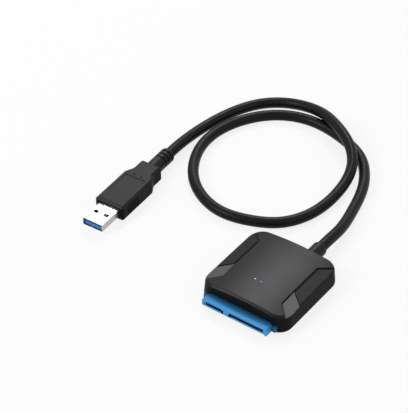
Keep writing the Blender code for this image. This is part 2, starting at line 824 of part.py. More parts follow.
def board_hole_places():
    front = BOARD_FRONT_Y + BOARD_HOLE_INSET
    rear = BOARD_REAR_Y - BOARD_HOLE_INSET
    return [(x, y) for x in (-BOARD_HOLE_X, BOARD_HOLE_X) for y in (front, rear)]


def board_posts():
    """Four posts on the floor that carry the board, each with a pin through it."""
    bm = bmesh.new()
    for place in board_hole_places():
        add_cylinder(bm, place, POST_RADIUS, FLOOR - SNUG, BOARD_BOTTOM - SNUG, 12)
    posts = cutter("posts", mesh_from(bm, "posts"))
    bm = bmesh.new()
    for place in board_hole_places():
        pin_radius = BOARD_HOLE_RADIUS - SNUG
        add_cylinder(bm, place, pin_radius, FLOOR, BOARD_TOP + PIN_RISE, 12)
    combine(posts, cutter("pins", mesh_from(bm, "pins")), "UNION")
    return posts


def sata_contact_places():
    """The x of each contact, from the signal end to the power end."""
    steps = SATA_SIGNAL_CONTACTS - 1 + SATA_GROUP_PITCHES + SATA_POWER_CONTACTS - 1
    first = -steps * SATA_PITCH / 2
    signal = [first + i * SATA_PITCH for i in range(SATA_SIGNAL_CONTACTS)]
    start = signal[-1] + SATA_GROUP_PITCHES * SATA_PITCH
    power = [start + i * SATA_PITCH for i in range(SATA_POWER_CONTACTS)]
    return signal, power


def sata_front_outline():
    """Front view of the receptacle: its bar, a hooked ear on the left and a closed one on the right,
    as (x, z) points."""
    half_bar = SATA_BAR_WIDTH / 2
    half_gap = half_bar + SATA_EAR_GAP
    half_all = half_gap + SATA_EAR_WIDTH
    cut = SATA_EAR_CHAMFER
    right = [
        (half_bar, SATA_BOTTOM),
        (half_bar + SATA_RIGHT_EAR_STEP, SATA_RIGHT_EAR_FOOT),
        (half_all - cut, SATA_RIGHT_EAR_FOOT),
        (half_all, SATA_RIGHT_EAR_FOOT + cut),
        (half_all, SATA_TOP - cut),
        (half_all - cut, SATA_TOP),
    ]
    left = [
        (half_all - cut, SATA_TOP),
        (half_all, SATA_TOP - cut),
        (half_all, SATA_LEFT_EAR_FOOT + cut),
        (half_all - cut, SATA_LEFT_EAR_FOOT),
        (half_gap, SATA_LEFT_EAR_FOOT),
        (half_gap, SATA_TOP - SATA_EAR_PLATE),
        (half_bar, SATA_TOP - SATA_EAR_PLATE),
        (half_bar, SATA_BOTTOM),
    ]
    return right + [(-x, z) for x, z in left]


def sata_slot_cutters():
    """The two keyed slots, and a channel for each contact over them."""
    signal, power = sata_contact_places()
    slots = bmesh.new()
    low_y = SATA_FACE_Y - OVERCUT
    back_y = SATA_FACE_Y + SATA_SLOT_DEPTH
    slot_bottom = SATA_SLOT_TOP - SATA_SLOT_HEIGHT
    ends = (
        (signal[0] - SATA_SLOT_END, signal[-1] + SATA_SIGNAL_KEY_OFFSET, -1),
        (power[0] - SATA_POWER_KEY_OFFSET, power[-1] + SATA_SLOT_END, 1),
    )
    keys = bmesh.new()
    for left, right, key_side in ends:
        add_box(slots, (left, low_y, slot_bottom), (right, back_y, SATA_SLOT_TOP))
        key_left = left if key_side > 0 else right - SATA_KEY_WIDTH
        key_low = (key_left, low_y, slot_bottom - SATA_KEY_DROP)
        key_high = (key_left + SATA_KEY_WIDTH, back_y, slot_bottom + SATA_SLOT_HEIGHT / 2)
        add_box(keys, key_low, key_high)
    channels = bmesh.new()
    for x in signal + power:
        half = SATA_CHANNEL_WIDTH / 2
        low = (x - half, low_y, SATA_SLOT_TOP - SATA_SLOT_HEIGHT / 4)
        high = (x + half, SATA_REAR_Y + OVERCUT, SATA_SLOT_TOP + SATA_CHANNEL_HEIGHT)
        add_box(channels, low, high)
    return [
        cutter("sata_slots", mesh_from(slots, "sata_slots")),
        cutter("sata_keys", mesh_from(keys, "sata_keys")),
        cutter("sata_channels", mesh_from(channels, "sata_channels")),
    ]


def make_sata_housing():
    """The blue receptacle: bar, ears, flange in the case's window and the body behind it."""
    bm = prism(sata_front_outline(), 0.0, 1.0)
    rear = FRONT_Y - SNUG
    for vert in bm.verts:
        x, z, along = vert.co
        vert.co = (x, SATA_FACE_Y + along * (rear - SATA_FACE_Y), z)
    finish = material("blue_pbt", "#3d8ed6", 0.45)
    housing = new_object("sata_housing", mesh_from(bm, "sata_housing"), parts, finish)
    half = SATA_FLANGE_WIDTH / 2
    flange = box(
        (-half, FRONT_Y - SATA_FLANGE_FRONT, SATA_BOTTOM),
        (half, FRONT_Y + WALL, SATA_FLANGE_TOP),
    )
    combine(housing, cutter("sata_flange", mesh_from(flange, "sata_flange")), "UNION")
    half = SATA_BODY_WIDTH / 2
    body = box((-half, FRONT_Y, SATA_BOTTOM), (half, SATA_REAR_Y, SATA_TOP - FIT))
    combine(housing, cutter("sata_body", mesh_from(body, "sata_body")), "UNION")
    for made in sata_slot_cutters():
        combine(housing, made)


def make_sata_contacts():
    """Twenty-two stamped contacts: a bowed spring in the slot and a tail on the board."""
    finish = material("gold_plate", "#d9b25f", 0.3, 1.0)
    signal, power = sata_contact_places()
    start = SATA_FACE_Y + SATA_CONTACT_INSET
    bow = start + SATA_CONTACT_BOW_LENGTH
    tail = BOARD_TOP + SOLDER_GAP + SATA_CONTACT_THICKNESS / 2
    step = SATA_CONTACT_HEIGHT - tail
    centreline = [
        (start, SATA_CONTACT_HEIGHT),
        (start + SATA_CONTACT_BOW_LENGTH / 2, SATA_CONTACT_HEIGHT - SATA_CONTACT_BOW),
        (bow, SATA_CONTACT_HEIGHT),
        (BOARD_FRONT_Y, SATA_CONTACT_HEIGHT),
        (BOARD_FRONT_Y + step, tail),
        (BOARD_FRONT_Y + step + SATA_TAIL_LENGTH, tail),
    ]
    width = SATA_CHANNEL_WIDTH - 2 * CONTACT_FIT
    for i, x in enumerate(signal + power, 1):
        strip(f"sata_contact_{i:02d}", centreline, SATA_CONTACT_THICKNESS, width, x, finish)


def make_circuit_board():
    half = BOARD_WIDTH / 2
    bm = box((-half, BOARD_FRONT_Y, BOARD_BOTTOM), (half, BOARD_REAR_Y, BOARD_TOP))
    bevel_edges(bm, upright_edges(bm), BOARD_CORNER, 3)
    finish = material("green_board", "#1f5a3a", 0.4)
    board = new_object("circuit_board", mesh_from(bm, "circuit_board"), parts, finish)
    holes = bmesh.new()
    for place in board_hole_places():
        low, high = BOARD_BOTTOM - OVERCUT, BOARD_TOP + OVERCUT
        add_cylinder(holes, place, BOARD_HOLE_RADIUS, low, high, 16)
    combine(board, cutter("board_holes", mesh_from(holes, "board_holes")))


def block_on_board(name, size, place, finish, corner=0.0, segments=1):
    """A component's body on the board, its upright edges cut by this corner."""
    low = (place[0] - size[0] / 2, place[1] - size[1] / 2, BOARD_TOP + SOLDER_GAP)
    high = (place[0] + size[0] / 2, place[1] + size[1] / 2, BOARD_TOP + SOLDER_GAP + size[2])
    bm = box(low, high)
    if corner:
        bevel_edges(bm, upright_edges(bm), corner, segments)
    return new_object(name, mesh_from(bm, name), parts, finish)


def make_firmware_chip():
    """A small chip with four legs on each long side."""
    finish = material("black_epoxy", "#1c1c1e", 0.5)
    x, y = FIRMWARE_CHIP_PLACE
    length, width, height = FIRMWARE_CHIP_SIZE
    low = (x - length / 2, y - width / 2, BOARD_TOP + FIT)
    high = (x + length / 2, y + width / 2, BOARD_TOP + height)
    chip = new_object("firmware_chip", mesh_from(box(low, high), "firmware_chip"), parts, finish)
    legs = bmesh.new()
    reach = width / 2 + FIRMWARE_LEG_REACH
    first = x - (FIRMWARE_LEG_COUNT - 1) * FIRMWARE_LEG_PITCH / 2
    for i in range(FIRMWARE_LEG_COUNT):
        leg_x = first + i * FIRMWARE_LEG_PITCH
        half = FIRMWARE_LEG_WIDTH / 2
        foot = BOARD_TOP + SOLDER_GAP
        add_box(
            legs,
            (leg_x - half, y - reach, foot),
            (leg_x + half, y + reach, foot + FIRMWARE_LEG_THICKNESS + FIT),
        )
    combine(chip, cutter("firmware_legs", mesh_from(legs, "firmware_legs")), "UNION")


def make_board_parts():
    epoxy = material("black_epoxy", "#1c1c1e", 0.5)
    ferrite = material("grey_ferrite", "#3a3b3d", 0.6)
    ceramic = material("tan_ceramic", "#b08a5c", 0.5)
    steel = material("tin_plate", "#c9cacc", 0.3, 1.0)
    block_on_board("bridge_chip", BRIDGE_CHIP_SIZE, BRIDGE_CHIP_PLACE, epoxy)
    make_firmware_chip()
    crystal_size = (CRYSTAL_LENGTH, CRYSTAL_WIDTH, CRYSTAL_HEIGHT)
    rounding = CRYSTAL_WIDTH / 2 - FIT / 10
    block_on_board("crystal", crystal_size, CRYSTAL_PLACE, steel, rounding, 6)
    block_on_board("power_inductor", INDUCTOR_SIZE, INDUCTOR_PLACE, ferrite, INDUCTOR_CHAMFER)
    for i, place in enumerate(CAPACITOR_PLACES, 1):
        block_on_board(f"capacitor_{i}", CAPACITOR_SIZE, place, ceramic)


def make_lights():
    """Two lamps on the board, and the clear pipes that carry their light to the roof."""
    clear = material("clear_acrylic", "#e4e8ee", 0.15)
    lamps = (("red", LED_RED_X, "#d8443c"), ("blue", LED_BLUE_X, "#3f63d8"))
    for name, x, colour in lamps:
        block_on_board(f"led_{name}", LED_SIZE, (x, LED_Y), material(f"{name}_led", colour, 0.3))
        bm = bmesh.new()
        low = BOARD_TOP + SOLDER_GAP + LED_SIZE[2] + FIT
        high = crown_height(x, LED_Y)
        add_cylinder(bm, (x, LED_Y), LIGHT_PIPE_RADIUS, low, high, LIGHT_PIPE_SIDES)
        pipe = new_object(f"light_pipe_{name}", mesh_from(bm, "light_pipe"), parts, clear)
        bm = bmesh.new()
        roof = crown_height(x, LED_Y, ROOF) - FIT
        collar = (roof - LIGHT_PIPE_COLLAR, roof)
        add_cylinder(bm, (x, LED_Y), LIGHT_PIPE_COLLAR_RADIUS, *collar, LIGHT_PIPE_SIDES)
        combine(pipe, cutter(f"collar_{name}", mesh_from(bm, "collar")), "UNION")


def make_boot():
    """The moulded boot: a shouldered sleeve outside, a neck in the wall and a flange inside it."""
    finish = material("black_pvc", "#232325", 0.45)
    wall_in = BOOT_INNER_Y + BOOT_FLANGE_THICKNESS
    wall_out = REAR_Y + SNUG
    mouth = CABLE_RADIUS + FIT
    profile = (
        (0.0, BOOT_END_Y),
        (mouth, BOOT_END_Y),
        (BOOT_RADIUS - BOOT_SHOULDER / 4, BOOT_END_Y - BOOT_SHOULDER / 2),
        (BOOT_RADIUS, BOOT_END_Y - BOOT_SHOULDER),
        (BOOT_RADIUS, wall_out),
        (BOOT_NECK_RADIUS, wall_out),
        (BOOT_NECK_RADIUS, wall_in),
        (BOOT_FLANGE_RADIUS, wall_in),
        (BOOT_FLANGE_RADIUS, BOOT_INNER_Y),
        (0.0, BOOT_INNER_Y),
    )
    place = (BOOT_X, 0.0, BOOT_HEIGHT)
    joiner = turned_along_y("boot_profile", profile, BOOT_SIDES, place)
    mesh = baked_mesh(joiner, "cable_boot")
    bpy.data.objects.remove(joiner)
    new_object("cable_boot", mesh, parts, finish)


def plug_frame():
    """The plug's own frame in the world."""
    place = Matrix.Translation((*PLUG_PLACE, PLUG_HEIGHT))
    return place @ Matrix.Rotation(PLUG_TURN, 4, "Z")


def make_cable():
    """The jacket, from the boot's end to the end of the plug's relief."""
    out = Vector((BOOT_X, BOOT_END_Y + FIT, BOOT_HEIGHT))
    back = plug_frame() @ Vector((0.0, RELIEF_END + FIT, 0.0))
    straight = plug_frame() @ Vector((0.0, RELIEF_END + FIT + CABLE_RADIUS, 0.0))
    route = [tuple(out), *CABLE_ROUTE, tuple(straight), tuple(back)]
    finish = material("black_pvc", "#232325", 0.45)
    tube("cable", smooth_route(route, CABLE_POINT_SPACING), CABLE_RADIUS, finish, 3)


def make_wires():
    """Eight insulated wires from the boot to pads along the board's rear edge."""
    count = len(WIRE_COLOURS)
    columns = count // WIRE_ROWS
    pad_y = BOARD_REAR_Y - WIRE_PAD_INSET
    for i, (name, colour) in enumerate(WIRE_COLOURS.items()):
        column, row = i // WIRE_ROWS, i % WIRE_ROWS
        x = BOOT_X + (column - (columns - 1) / 2) * WIRE_PITCH
        z = BOOT_HEIGHT + (row - (WIRE_ROWS - 1) / 2) * WIRE_PITCH
        pad_x = BOOT_X + (i - (count - 1) / 2) * WIRE_PAD_PITCH
        start = BOOT_INNER_Y - FIT
        middle_x = (x + pad_x) / 2
        pad_z = BOARD_TOP + WIRE_RADIUS + CONTACT_FIT
        route = [
            (x, start, z),
            (x, start - 0.0012, z),
            (middle_x, (start + pad_y) / 2 + 0.0010, (z + pad_z) / 2 + 0.0006),
            (pad_x, pad_y + 0.0012, pad_z + 0.0002),
            (pad_x, pad_y, pad_z),
        ]
        finish = material(f"{name}_wire", colour, 0.5)
        tube(f"wire_{name}", smooth_route(route, 0.0012), WIRE_RADIUS, finish, 1)


def on_plug(obj):
    """Parents a piece that was modelled in the plug's own frame to the plug's empty."""
    obj.parent = plug_axis
    return obj


def moulding_outline():
    """Plan outline of the moulding's flat part, in the plug's frame."""
    half, neck = MOULDING_WIDTH / 2, MOULDING_NECK_WIDTH / 2
    taper_end = MOULDING_BODY_LENGTH + MOULDING_TAPER_LENGTH
    right = [
        (half - MOULDING_CORNER, 0.0),
        (half, MOULDING_CORNER),
        (half, MOULDING_BODY_LENGTH),
        (neck, taper_end),
        (neck, NECK_END),
    ]
    return right + [(-x, y) for x, y in right[::-1]]


def relief_profile():
    """The strain relief's (radius, distance) points from its cable end to its root in the neck."""
    radius = RELIEF_RADIUS
    points = [
        (0.0, RELIEF_END),
        (RELIEF_END_RADIUS, RELIEF_END),
        (radius, RELIEF_END - RELIEF_END_ROUND),
    ]
    half = RELIEF_GROOVE_WIDTH / 2
    for i in reversed(range(RELIEF_GROOVES)):
        middle = NECK_END + RELIEF_FIRST_GROOVE + i * RELIEF_GROOVE_PITCH
        points += [
            (radius, middle + half),
            (radius - RELIEF_GROOVE_DEPTH, middle + half / 2),
            (radius - RELIEF_GROOVE_DEPTH, middle - half / 2),
            (radius, middle - half),
        ]
    root = NECK_END - MOULDING_NECK_LENGTH / 2
    return points + [(radius, root), (0.0, root)]


def grip_cutters():
    """Upright grooves in both sides of the moulding near its front."""
    bm = bmesh.new()
    half = MOULDING_WIDTH / 2
    for side in (1, -1):
        for i in range(GRIP_COUNT):
            y = GRIP_START + i * GRIP_PITCH
            inner, outer = side * (half - GRIP_DEPTH), side * (half + OVERCUT)
            low = (min(inner, outer), y - GRIP_WIDTH / 2, -MOULDING_THICKNESS / 2 - OVERCUT)
            high = (max(inner, outer), y + GRIP_WIDTH / 2, MOULDING_THICKNESS / 2 - MOULDING_CHAMFER)
            add_box(bm, low, high)
    return cutter("grip_grooves", mesh_from(bm, "grip_grooves"))


def rounded_bar(width, thickness, corner, low_y, high_y):
    """A bar along Y with rounded long edges, centred on the plug's axis."""
    bm = box((-width / 2, low_y, -thickness / 2), (width / 2, high_y, thickness / 2))
    long_edges = []
    for edge in bm.edges:
        along = edge.verts[1].co - edge.verts[0].co
        if abs(along.y) > 0.7 * along.length:
            long_edges.append(edge)
    bevel_edges(bm, long_edges, corner, 3)
    return bm


def make_moulding():
    """The plug's grip and strain relief, one moulding over the shell and the cable's end."""
    finish = material("black_pvc", "#232325", 0.45)
    half = MOULDING_THICKNESS / 2
    bm = prism(moulding_outline(), -half, half)
    bevel_edges(bm, edges_at_height(bm, half), MOULDING_CHAMFER, 1)
    bevel_edges(bm, edges_at_height(bm, -half), MOULDING_CHAMFER, 1)
    moulding = new_object("usb_overmold", mesh_from(bm, "usb_overmold"), parts, finish)
    relief = turned_along_y("relief", relief_profile(), RELIEF_SIDES, (0.0, 0.0, 0.0))
    combine(moulding, relief, "UNION")
    pocket = rounded_bar(
        SHELL_WIDTH + 2 * SNUG,
        SHELL_THICKNESS + 2 * SNUG,
        SHELL_CORNER + SNUG,
        -OVERCUT,
        SHELL_ROOT + SNUG,
    )
    combine(moulding, cutter("shell_pocket", mesh_from(pocket, "shell_pocket")))
    tail_half_width = SHELL_WIDTH / 2 - SHELL_CORNER
    tail_half_height = SHELL_THICKNESS / 2 - SHELL_CORNER
    tails = box(
        (-tail_half_width, 0.0, -tail_half_height),
        (tail_half_width, SHELL_ROOT + USB_TAIL_LENGTH + FIT, tail_half_height),
    )
    combine(moulding, cutter("tail_pocket", mesh_from(tails, "tail_pocket")))
    combine(moulding, grip_cutters())
    on_plug(moulding)
    for helper in bpy.data.objects:
        if helper.name in ("relief", "shell_pocket", "tail_pocket", "grip_grooves"):
            on_plug(helper)


def make_usb_shell():
    """The folded steel shell with its two pairs of latch windows and the notch near its root."""
    finish = material("nickel_steel", "#d5d6d8", 0.25, 1.0)
    bm = rounded_bar(SHELL_WIDTH, SHELL_THICKNESS, SHELL_CORNER, -SHELL_REACH, SHELL_ROOT)
    shell = new_object("usb_shell", mesh_from(bm, "usb_shell"), parts, finish)
    hollow = rounded_bar(
        SHELL_WIDTH - 2 * SHELL_WALL,
        SHELL_THICKNESS - 2 * SHELL_WALL,
        SHELL_CORNER - SHELL_WALL,
        -SHELL_REACH - OVERCUT,
        SHELL_ROOT + OVERCUT,
    )
    windows = bmesh.new()
    reach = SHELL_THICKNESS / 2 + OVERCUT
    half_x, half_y = SHELL_WINDOW[0] / 2, SHELL_WINDOW[1] / 2
    for x in (-SHELL_WINDOW_X, SHELL_WINDOW_X):
        low = (x - half_x, -SHELL_WINDOW_SETBACK - half_y, -reach)
        high = (x + half_x, -SHELL_WINDOW_SETBACK + half_y, reach)
        add_box(windows, low, high)
    half_x, half_y = SHELL_NOTCH[0] / 2, SHELL_NOTCH[1] / 2
    low = (-half_x, -SHELL_NOTCH_SETBACK - half_y, 0.0)
    high = (half_x, -SHELL_NOTCH_SETBACK + half_y, reach)
    add_box(windows, low, high)
    helpers = (
        cutter("shell_hollow", mesh_from(hollow, "shell_hollow")),
        cutter("shell_windows", mesh_from(windows, "shell_windows")),
    )
    for helper in helpers:
        combine(shell, helper)
        on_plug(helper)
    on_plug(shell)


def spring_contact_places():
    middle = (SPRING_CONTACT_COUNT - 1) / 2
    return [(i - middle) * SPRING_CONTACT_PITCH for i in range(SPRING_CONTACT_COUNT)]


def make_usb_insulator():
    """The blue insulator: a tongue under the mouth's gap and the block behind it."""
    finish = material("blue_pbt", "#3d8ed6", 0.45)
    half = SHELL_WIDTH / 2 - SHELL_WALL - CONTACT_FIT
    low_z = TONGUE_TOP - TONGUE_THICKNESS
    rear = SHELL_ROOT - FIT
    tongue = box((-half, TONGUE_SETBACK - SHELL_REACH, low_z), (half, rear, TONGUE_TOP))
    insulator = new_object("usb_insulator", mesh_from(tongue, "usb_insulator"), parts, finish)
    high_z = SHELL_THICKNESS / 2 - SHELL_WALL - CONTACT_FIT
    block = box((-half, -INSULATOR_BLOCK_FRONT, low_z), (half, rear, high_z))
    grooves = bmesh.new()
    depth = USB_CONTACT_THICKNESS + CONTACT_FIT
    for x in FLAT_CONTACT_X:
        reach = FLAT_CONTACT_WIDTH / 2 + CONTACT_FIT
        start = TONGUE_SETBACK + FLAT_CONTACT_SETBACK - SHELL_REACH - CONTACT_FIT
        low = (x - reach, start, TONGUE_TOP - depth)
        high = (x + reach, rear + OVERCUT, TONGUE_TOP + CONTACT_FIT)
        add_box(grooves, low, high)
    height = TONGUE_TOP + SPRING_CONTACT_RISE
    for x in spring_contact_places():
        reach = SPRING_CONTACT_WIDTH / 2 + CONTACT_FIT
        half_height = USB_CONTACT_THICKNESS / 2 + CONTACT_FIT
        low = (x - reach, -INSULATOR_BLOCK_FRONT - OVERCUT, height - half_height)
        high = (x + reach, rear + OVERCUT, height + half_height)
        add_box(grooves, low, high)
    joiner = cutter("insulator_block", mesh_from(block, "insulator_block"))
    channels = cutter("insulator_channels", mesh_from(grooves, "insulator_channels"))
    combine(insulator, joiner, "UNION")
    combine(insulator, channels)
    for helper in (joiner, channels, insulator):
        on_plug(helper)


def make_usb_contacts():
    """Four flat contacts in the tongue and five springs over it, all with tails behind."""
    finish = material("gold_plate", "#d9b25f", 0.3, 1.0)
    tail_end = SHELL_ROOT + USB_TAIL_LENGTH - FIT
    flat_height = TONGUE_TOP - USB_CONTACT_THICKNESS / 2
    start = TONGUE_SETBACK + FLAT_CONTACT_SETBACK - SHELL_REACH
    flat = [(start, flat_height), (tail_end, flat_height)]
    for i, x in enumerate(FLAT_CONTACT_X, 1):
        name = f"usb_flat_contact_{i}"
        on_plug(strip(name, flat, USB_CONTACT_THICKNESS, FLAT_CONTACT_WIDTH, x, finish))
    height = TONGUE_TOP + SPRING_CONTACT_RISE
    front = -INSULATOR_BLOCK_FRONT
    low = TONGUE_TOP + FIT
    spring = [
        (front - SPRING_CONTACT_REACH, low + SPRING_CONTACT_RISE / 4),
        (front - SPRING_CONTACT_REACH * 0.8, low),
        (front - SPRING_CONTACT_REACH * 0.2, height),
        (tail_end, height),
    ]
    for i, x in enumerate(spring_contact_places(), 1):
        name = f"usb_spring_contact_{i}"
        on_plug(strip(name, spring, USB_CONTACT_THICKNESS, SPRING_CONTACT_WIDTH, x, finish))


def smooth_round_pieces():
    """Shades the pieces smooth, with their edges kept sharp."""
    for obj in parts.objects:
        if obj.type == "MESH":
            obj.data.shade_smooth()
            obj.data.set_sharp_from_angle(angle=math.radians(32))


for old in list(bpy.data.objects):
    bpy.data.objects.remove(old)
parts = bpy.data.collections.new("usb_to_sata_adapter")
cutters = bpy.data.collections.new("cutters")
bpy.context.scene.collection.children.link(parts)
bpy.context.scene.collection.children.link(cutters)
cutters.hide_render = True

plug_axis = bpy.data.objects.new("plug_axis", None)
parts.objects.link(plug_axis)
plug_axis.matrix_world = plug_frame()

make_shells()
make_sata_housing()
make_sata_contacts()
make_circuit_board()
make_board_parts()
make_lights()
make_boot()
make_cable()
make_wires()
make_moulding()
make_usb_shell()
make_usb_insulator()
make_usb_contacts()
smooth_round_pieces()
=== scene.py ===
# %% [markdown]
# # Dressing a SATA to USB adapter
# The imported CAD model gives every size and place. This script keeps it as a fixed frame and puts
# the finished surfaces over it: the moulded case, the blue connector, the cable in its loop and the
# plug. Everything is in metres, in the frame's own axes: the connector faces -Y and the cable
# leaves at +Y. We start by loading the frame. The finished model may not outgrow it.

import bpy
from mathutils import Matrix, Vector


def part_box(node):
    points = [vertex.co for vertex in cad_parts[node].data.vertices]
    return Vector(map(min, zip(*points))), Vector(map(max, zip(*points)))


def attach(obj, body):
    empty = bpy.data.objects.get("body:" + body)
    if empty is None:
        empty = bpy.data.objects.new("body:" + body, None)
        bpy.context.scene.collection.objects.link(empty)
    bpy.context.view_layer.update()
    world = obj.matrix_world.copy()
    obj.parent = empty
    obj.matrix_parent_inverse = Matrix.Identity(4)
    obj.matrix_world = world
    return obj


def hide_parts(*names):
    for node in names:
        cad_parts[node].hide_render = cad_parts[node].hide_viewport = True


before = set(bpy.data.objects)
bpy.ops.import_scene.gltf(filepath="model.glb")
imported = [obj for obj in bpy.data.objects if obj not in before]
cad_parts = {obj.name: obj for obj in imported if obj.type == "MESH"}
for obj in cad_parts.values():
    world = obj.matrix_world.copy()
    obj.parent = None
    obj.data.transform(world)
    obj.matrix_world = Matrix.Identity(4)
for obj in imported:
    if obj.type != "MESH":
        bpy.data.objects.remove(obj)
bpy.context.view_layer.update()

import math

import bmesh
import bpy
import numpy as np
from mathutils import Matrix, Vector
from mathutils.geometry import delaunay_2d_cdt

scene = bpy.context.scene
MM = 0.001
print("frame nodes:", len(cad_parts))

# %% [markdown]
# ## Camera
# The photograph looks down at about 40 degrees over the adapter's front right corner, from far
# away with a long lens, so parallel edges stay nearly parallel. The place was found by laying the
# CAD model's corners over the photograph's. We aim the camera with a quaternion from its line of
# sight.

# %% Camera
LOOK_AT = Vector((-0.061942, 0.031687, 0.0))
AZIMUTH, ELEVATION = math.radians(35.795), math.radians(39.865)
DISTANCE = 0.96399
SENSOR = 36.0
LENS = 165.6

back = Vector(
    (
        math.sin(AZIMUTH) * math.cos(ELEVATION),
        -math.cos(AZIMUTH) * math.cos(ELEVATION),
        math.sin(ELEVATION),
    )
)
camera = bpy.data.objects.new("camera", bpy.data.cameras.new("camera"))
scene.collection.objects.link(camera)
camera.location = LOOK_AT + back * DISTANCE
camera.rotation_mode = "QUATERNION"
camera.rotation_quaternion = (-back).to_track_quat("-Z", "Y")
camera.data.sensor_width = SENSOR
camera.data.lens = LENS
camera.data.clip_start = 0.01
scene.camera = camera
print("camera at", [round(v, 3) for v in camera.location])

# %% [markdown]
# ## Helpers for meshes
# Each piece is made in mesh code and linked once. A piece's object stays at the origin, so its
# place is in its vertices. We keep three helpers here: one links a mesh and lets it ride on the
# frame's only body, one makes a smooth-shaded mesh, and one turns a closed mesh's faces to point
# outwards.

# %% Mesh helpers
BODY = "root"


def add_piece(mesh, materials, replaces):
    """Links a mesh as a piece with its materials, and hides the nodes that it stands for."""
    piece = bpy.data.objects.new(mesh.name, mesh)
    scene.collection.objects.link(piece)
    mesh.materials.clear()
    for material in materials:
        mesh.materials.append(material)
    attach(piece, BODY)
    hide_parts(*replaces)
    return piece


def mesh_from(name, vertices, faces, normals=None):
    """A smooth-shaded mesh from vertices in metres, with their own normals if they are given."""
    mesh = bpy.data.meshes.new(name)
    mesh.from_pydata([tuple(v) for v in vertices], [], [tuple(f) for f in faces])
    mesh.validate()
    mesh.shade_smooth()
    if normals is not None:
        mesh.normals_split_custom_set_from_vertices([tuple(n) for n in normals])
    return mesh


def face_outwards(mesh):
    """Turns the faces of a closed mesh so that they all point outwards."""
    bm = bmesh.new()
    bm.from_mesh(mesh)
    bmesh.ops.recalc_face_normals(bm, faces=bm.faces)
    bm.to_mesh(mesh)
    bm.free()


# %% [markdown]
# ## The cable's line
# The cable is a round PVC lead of 5.8 mm. It leaves the boot straight, comes down to the table,
# makes one loop, passes over itself in a low hump and rises into the plug. The route repeats the
# CAD's points, and a natural cubic spline runs through them: it is the curve of a thin bent rod,
# so it is how a springy lead lies. LOW is the height of its middle where it lies on the table.

# %% Cable route
CABLE_DIAMETER = 0.0058
BOOT_X, BOOT_END_Y, BOOT_HEIGHT = 0.0069, 0.0340, 0.0058
GAP = 0.0003
LOW = 0.00295
CABLE_STEP = 0.0010
PLUG_ORIGIN = Vector((-0.0962, -0.0024, 0.00445))
PLUG_TURN = math.radians(2.7)
RELIEF_END = 0.0536
plug_frame = Matrix.Translation(PLUG_ORIGIN) @ Matrix.Rotation(PLUG_TURN, 4, "Z")

ROUTE = [
    (BOOT_X, BOOT_END_Y + GAP, BOOT_HEIGHT),
    (0.0069, 0.0420, 0.0057), (0.0067, 0.0500, 0.0050), (0.0030, 0.0690, 0.0032),
    (-0.0034, 0.0898, LOW), (-0.0090, 0.0998, LOW), (-0.0168, 0.1086, LOW),
    (-0.0262, 0.1142, LOW), (-0.0358, 0.1176, LOW), (-0.0460, 0.1198, LOW),
    (-0.0560, 0.1200, LOW), (-0.0660, 0.1175, LOW), (-0.0750, 0.1120, LOW),
    (-0.0828, 0.1032, LOW), (-0.0908, 0.0800, LOW), (-0.0900, 0.0685, LOW),
    (-0.0862, 0.0573, LOW), (-0.0797, 0.0468, LOW), (-0.0675, 0.0362, LOW),
    (-0.0500, 0.0307, LOW), (-0.0345, 0.0337, LOW), (-0.0215, 0.0413, LOW),
    (-0.0140, 0.0530, LOW), (-0.0112, 0.0655, LOW), (-0.0110, 0.0770, 0.00315),
    (-0.0122, 0.0880, 0.0042), (-0.0155, 0.0980, 0.0060), (-0.0215, 0.1062, 0.0078),
    (-0.0295, 0.1126, 0.0090), (-0.0385, 0.1180, 0.0092), (-0.0480, 0.1228, 0.0082),
    (-0.0580, 0.1258, 0.0063), (-0.0680, 0.1262, 0.0045), (-0.0775, 0.1235, 0.0033),
    (-0.0855, 0.1170, LOW), (-0.0915, 0.1072, LOW), (-0.0985, 0.0815, 0.0030),
    (-0.0995, 0.0680, 0.0035),
    tuple(plug_frame @ Vector((0.0, RELIEF_END + GAP + CABLE_DIAMETER / 2, 0.0))),
    tuple(plug_frame @ Vector((0.0, RELIEF_END + GAP, 0.0))),
]


def spline_points(points, spacing):
    """Points about this far apart along the natural cubic spline through a route's points."""
    knots = np.array(points, float)
    steps = np.linalg.norm(np.diff(knots, axis=0), axis=1)
    at = np.concatenate([[0.0], np.cumsum(steps)])
    count = len(knots)
    system, rises = np.eye(count), np.zeros_like(knots)
    for i in range(1, count - 1):
        system[i, i - 1 : i + 2] = (steps[i - 1], 2 * (steps[i - 1] + steps[i]), steps[i])
        ahead = (knots[i + 1] - knots[i]) / steps[i]
        behind = (knots[i] - knots[i - 1]) / steps[i - 1]
        rises[i] = 6 * (ahead - behind)
    bends = np.linalg.solve(system, rises)
    found = []
    for distance in np.linspace(0.0, at[-1], round(at[-1] / spacing) + 1):
        i = min(max(int(np.searchsorted(at, distance)) - 1, 0), count - 2)
        a = (at[i + 1] - distance) / steps[i]
        b = 1 - a
        bend = ((a**3 - a) * bends[i] + (b**3 - b) * bends[i + 1]) * steps[i] ** 2 / 6
        found.append(a * knots[i] + b * knots[i + 1] + bend)
    return np.array(found)


cable_line = spline_points(ROUTE, CABLE_STEP)

# %% [markdown]
# ## Floor, background and light
# The object lies on a plain white table that runs on into a white background. The lamps keep a
# plain level, so white comes from the floor's own colour and from the world, which shows as white
# only to the camera and in reflections. A soft box over the left rear gives the long gradient on
# the case and the highlight along the cable, as in a product photograph. The floor lies a hair
# below the object, so that the two never share a plane.

# %% Colour and node helpers
def linear(text):
    """Linear red, green, blue and alpha of an sRGB hex colour."""
    values = []
    for i in (1, 3, 5):
        v = int(text[i : i + 2], 16) / 255
        values.append(v / 12.92 if v <= 0.04045 else ((v + 0.055) / 1.055) ** 2.4)
    return (*values, 1.0)


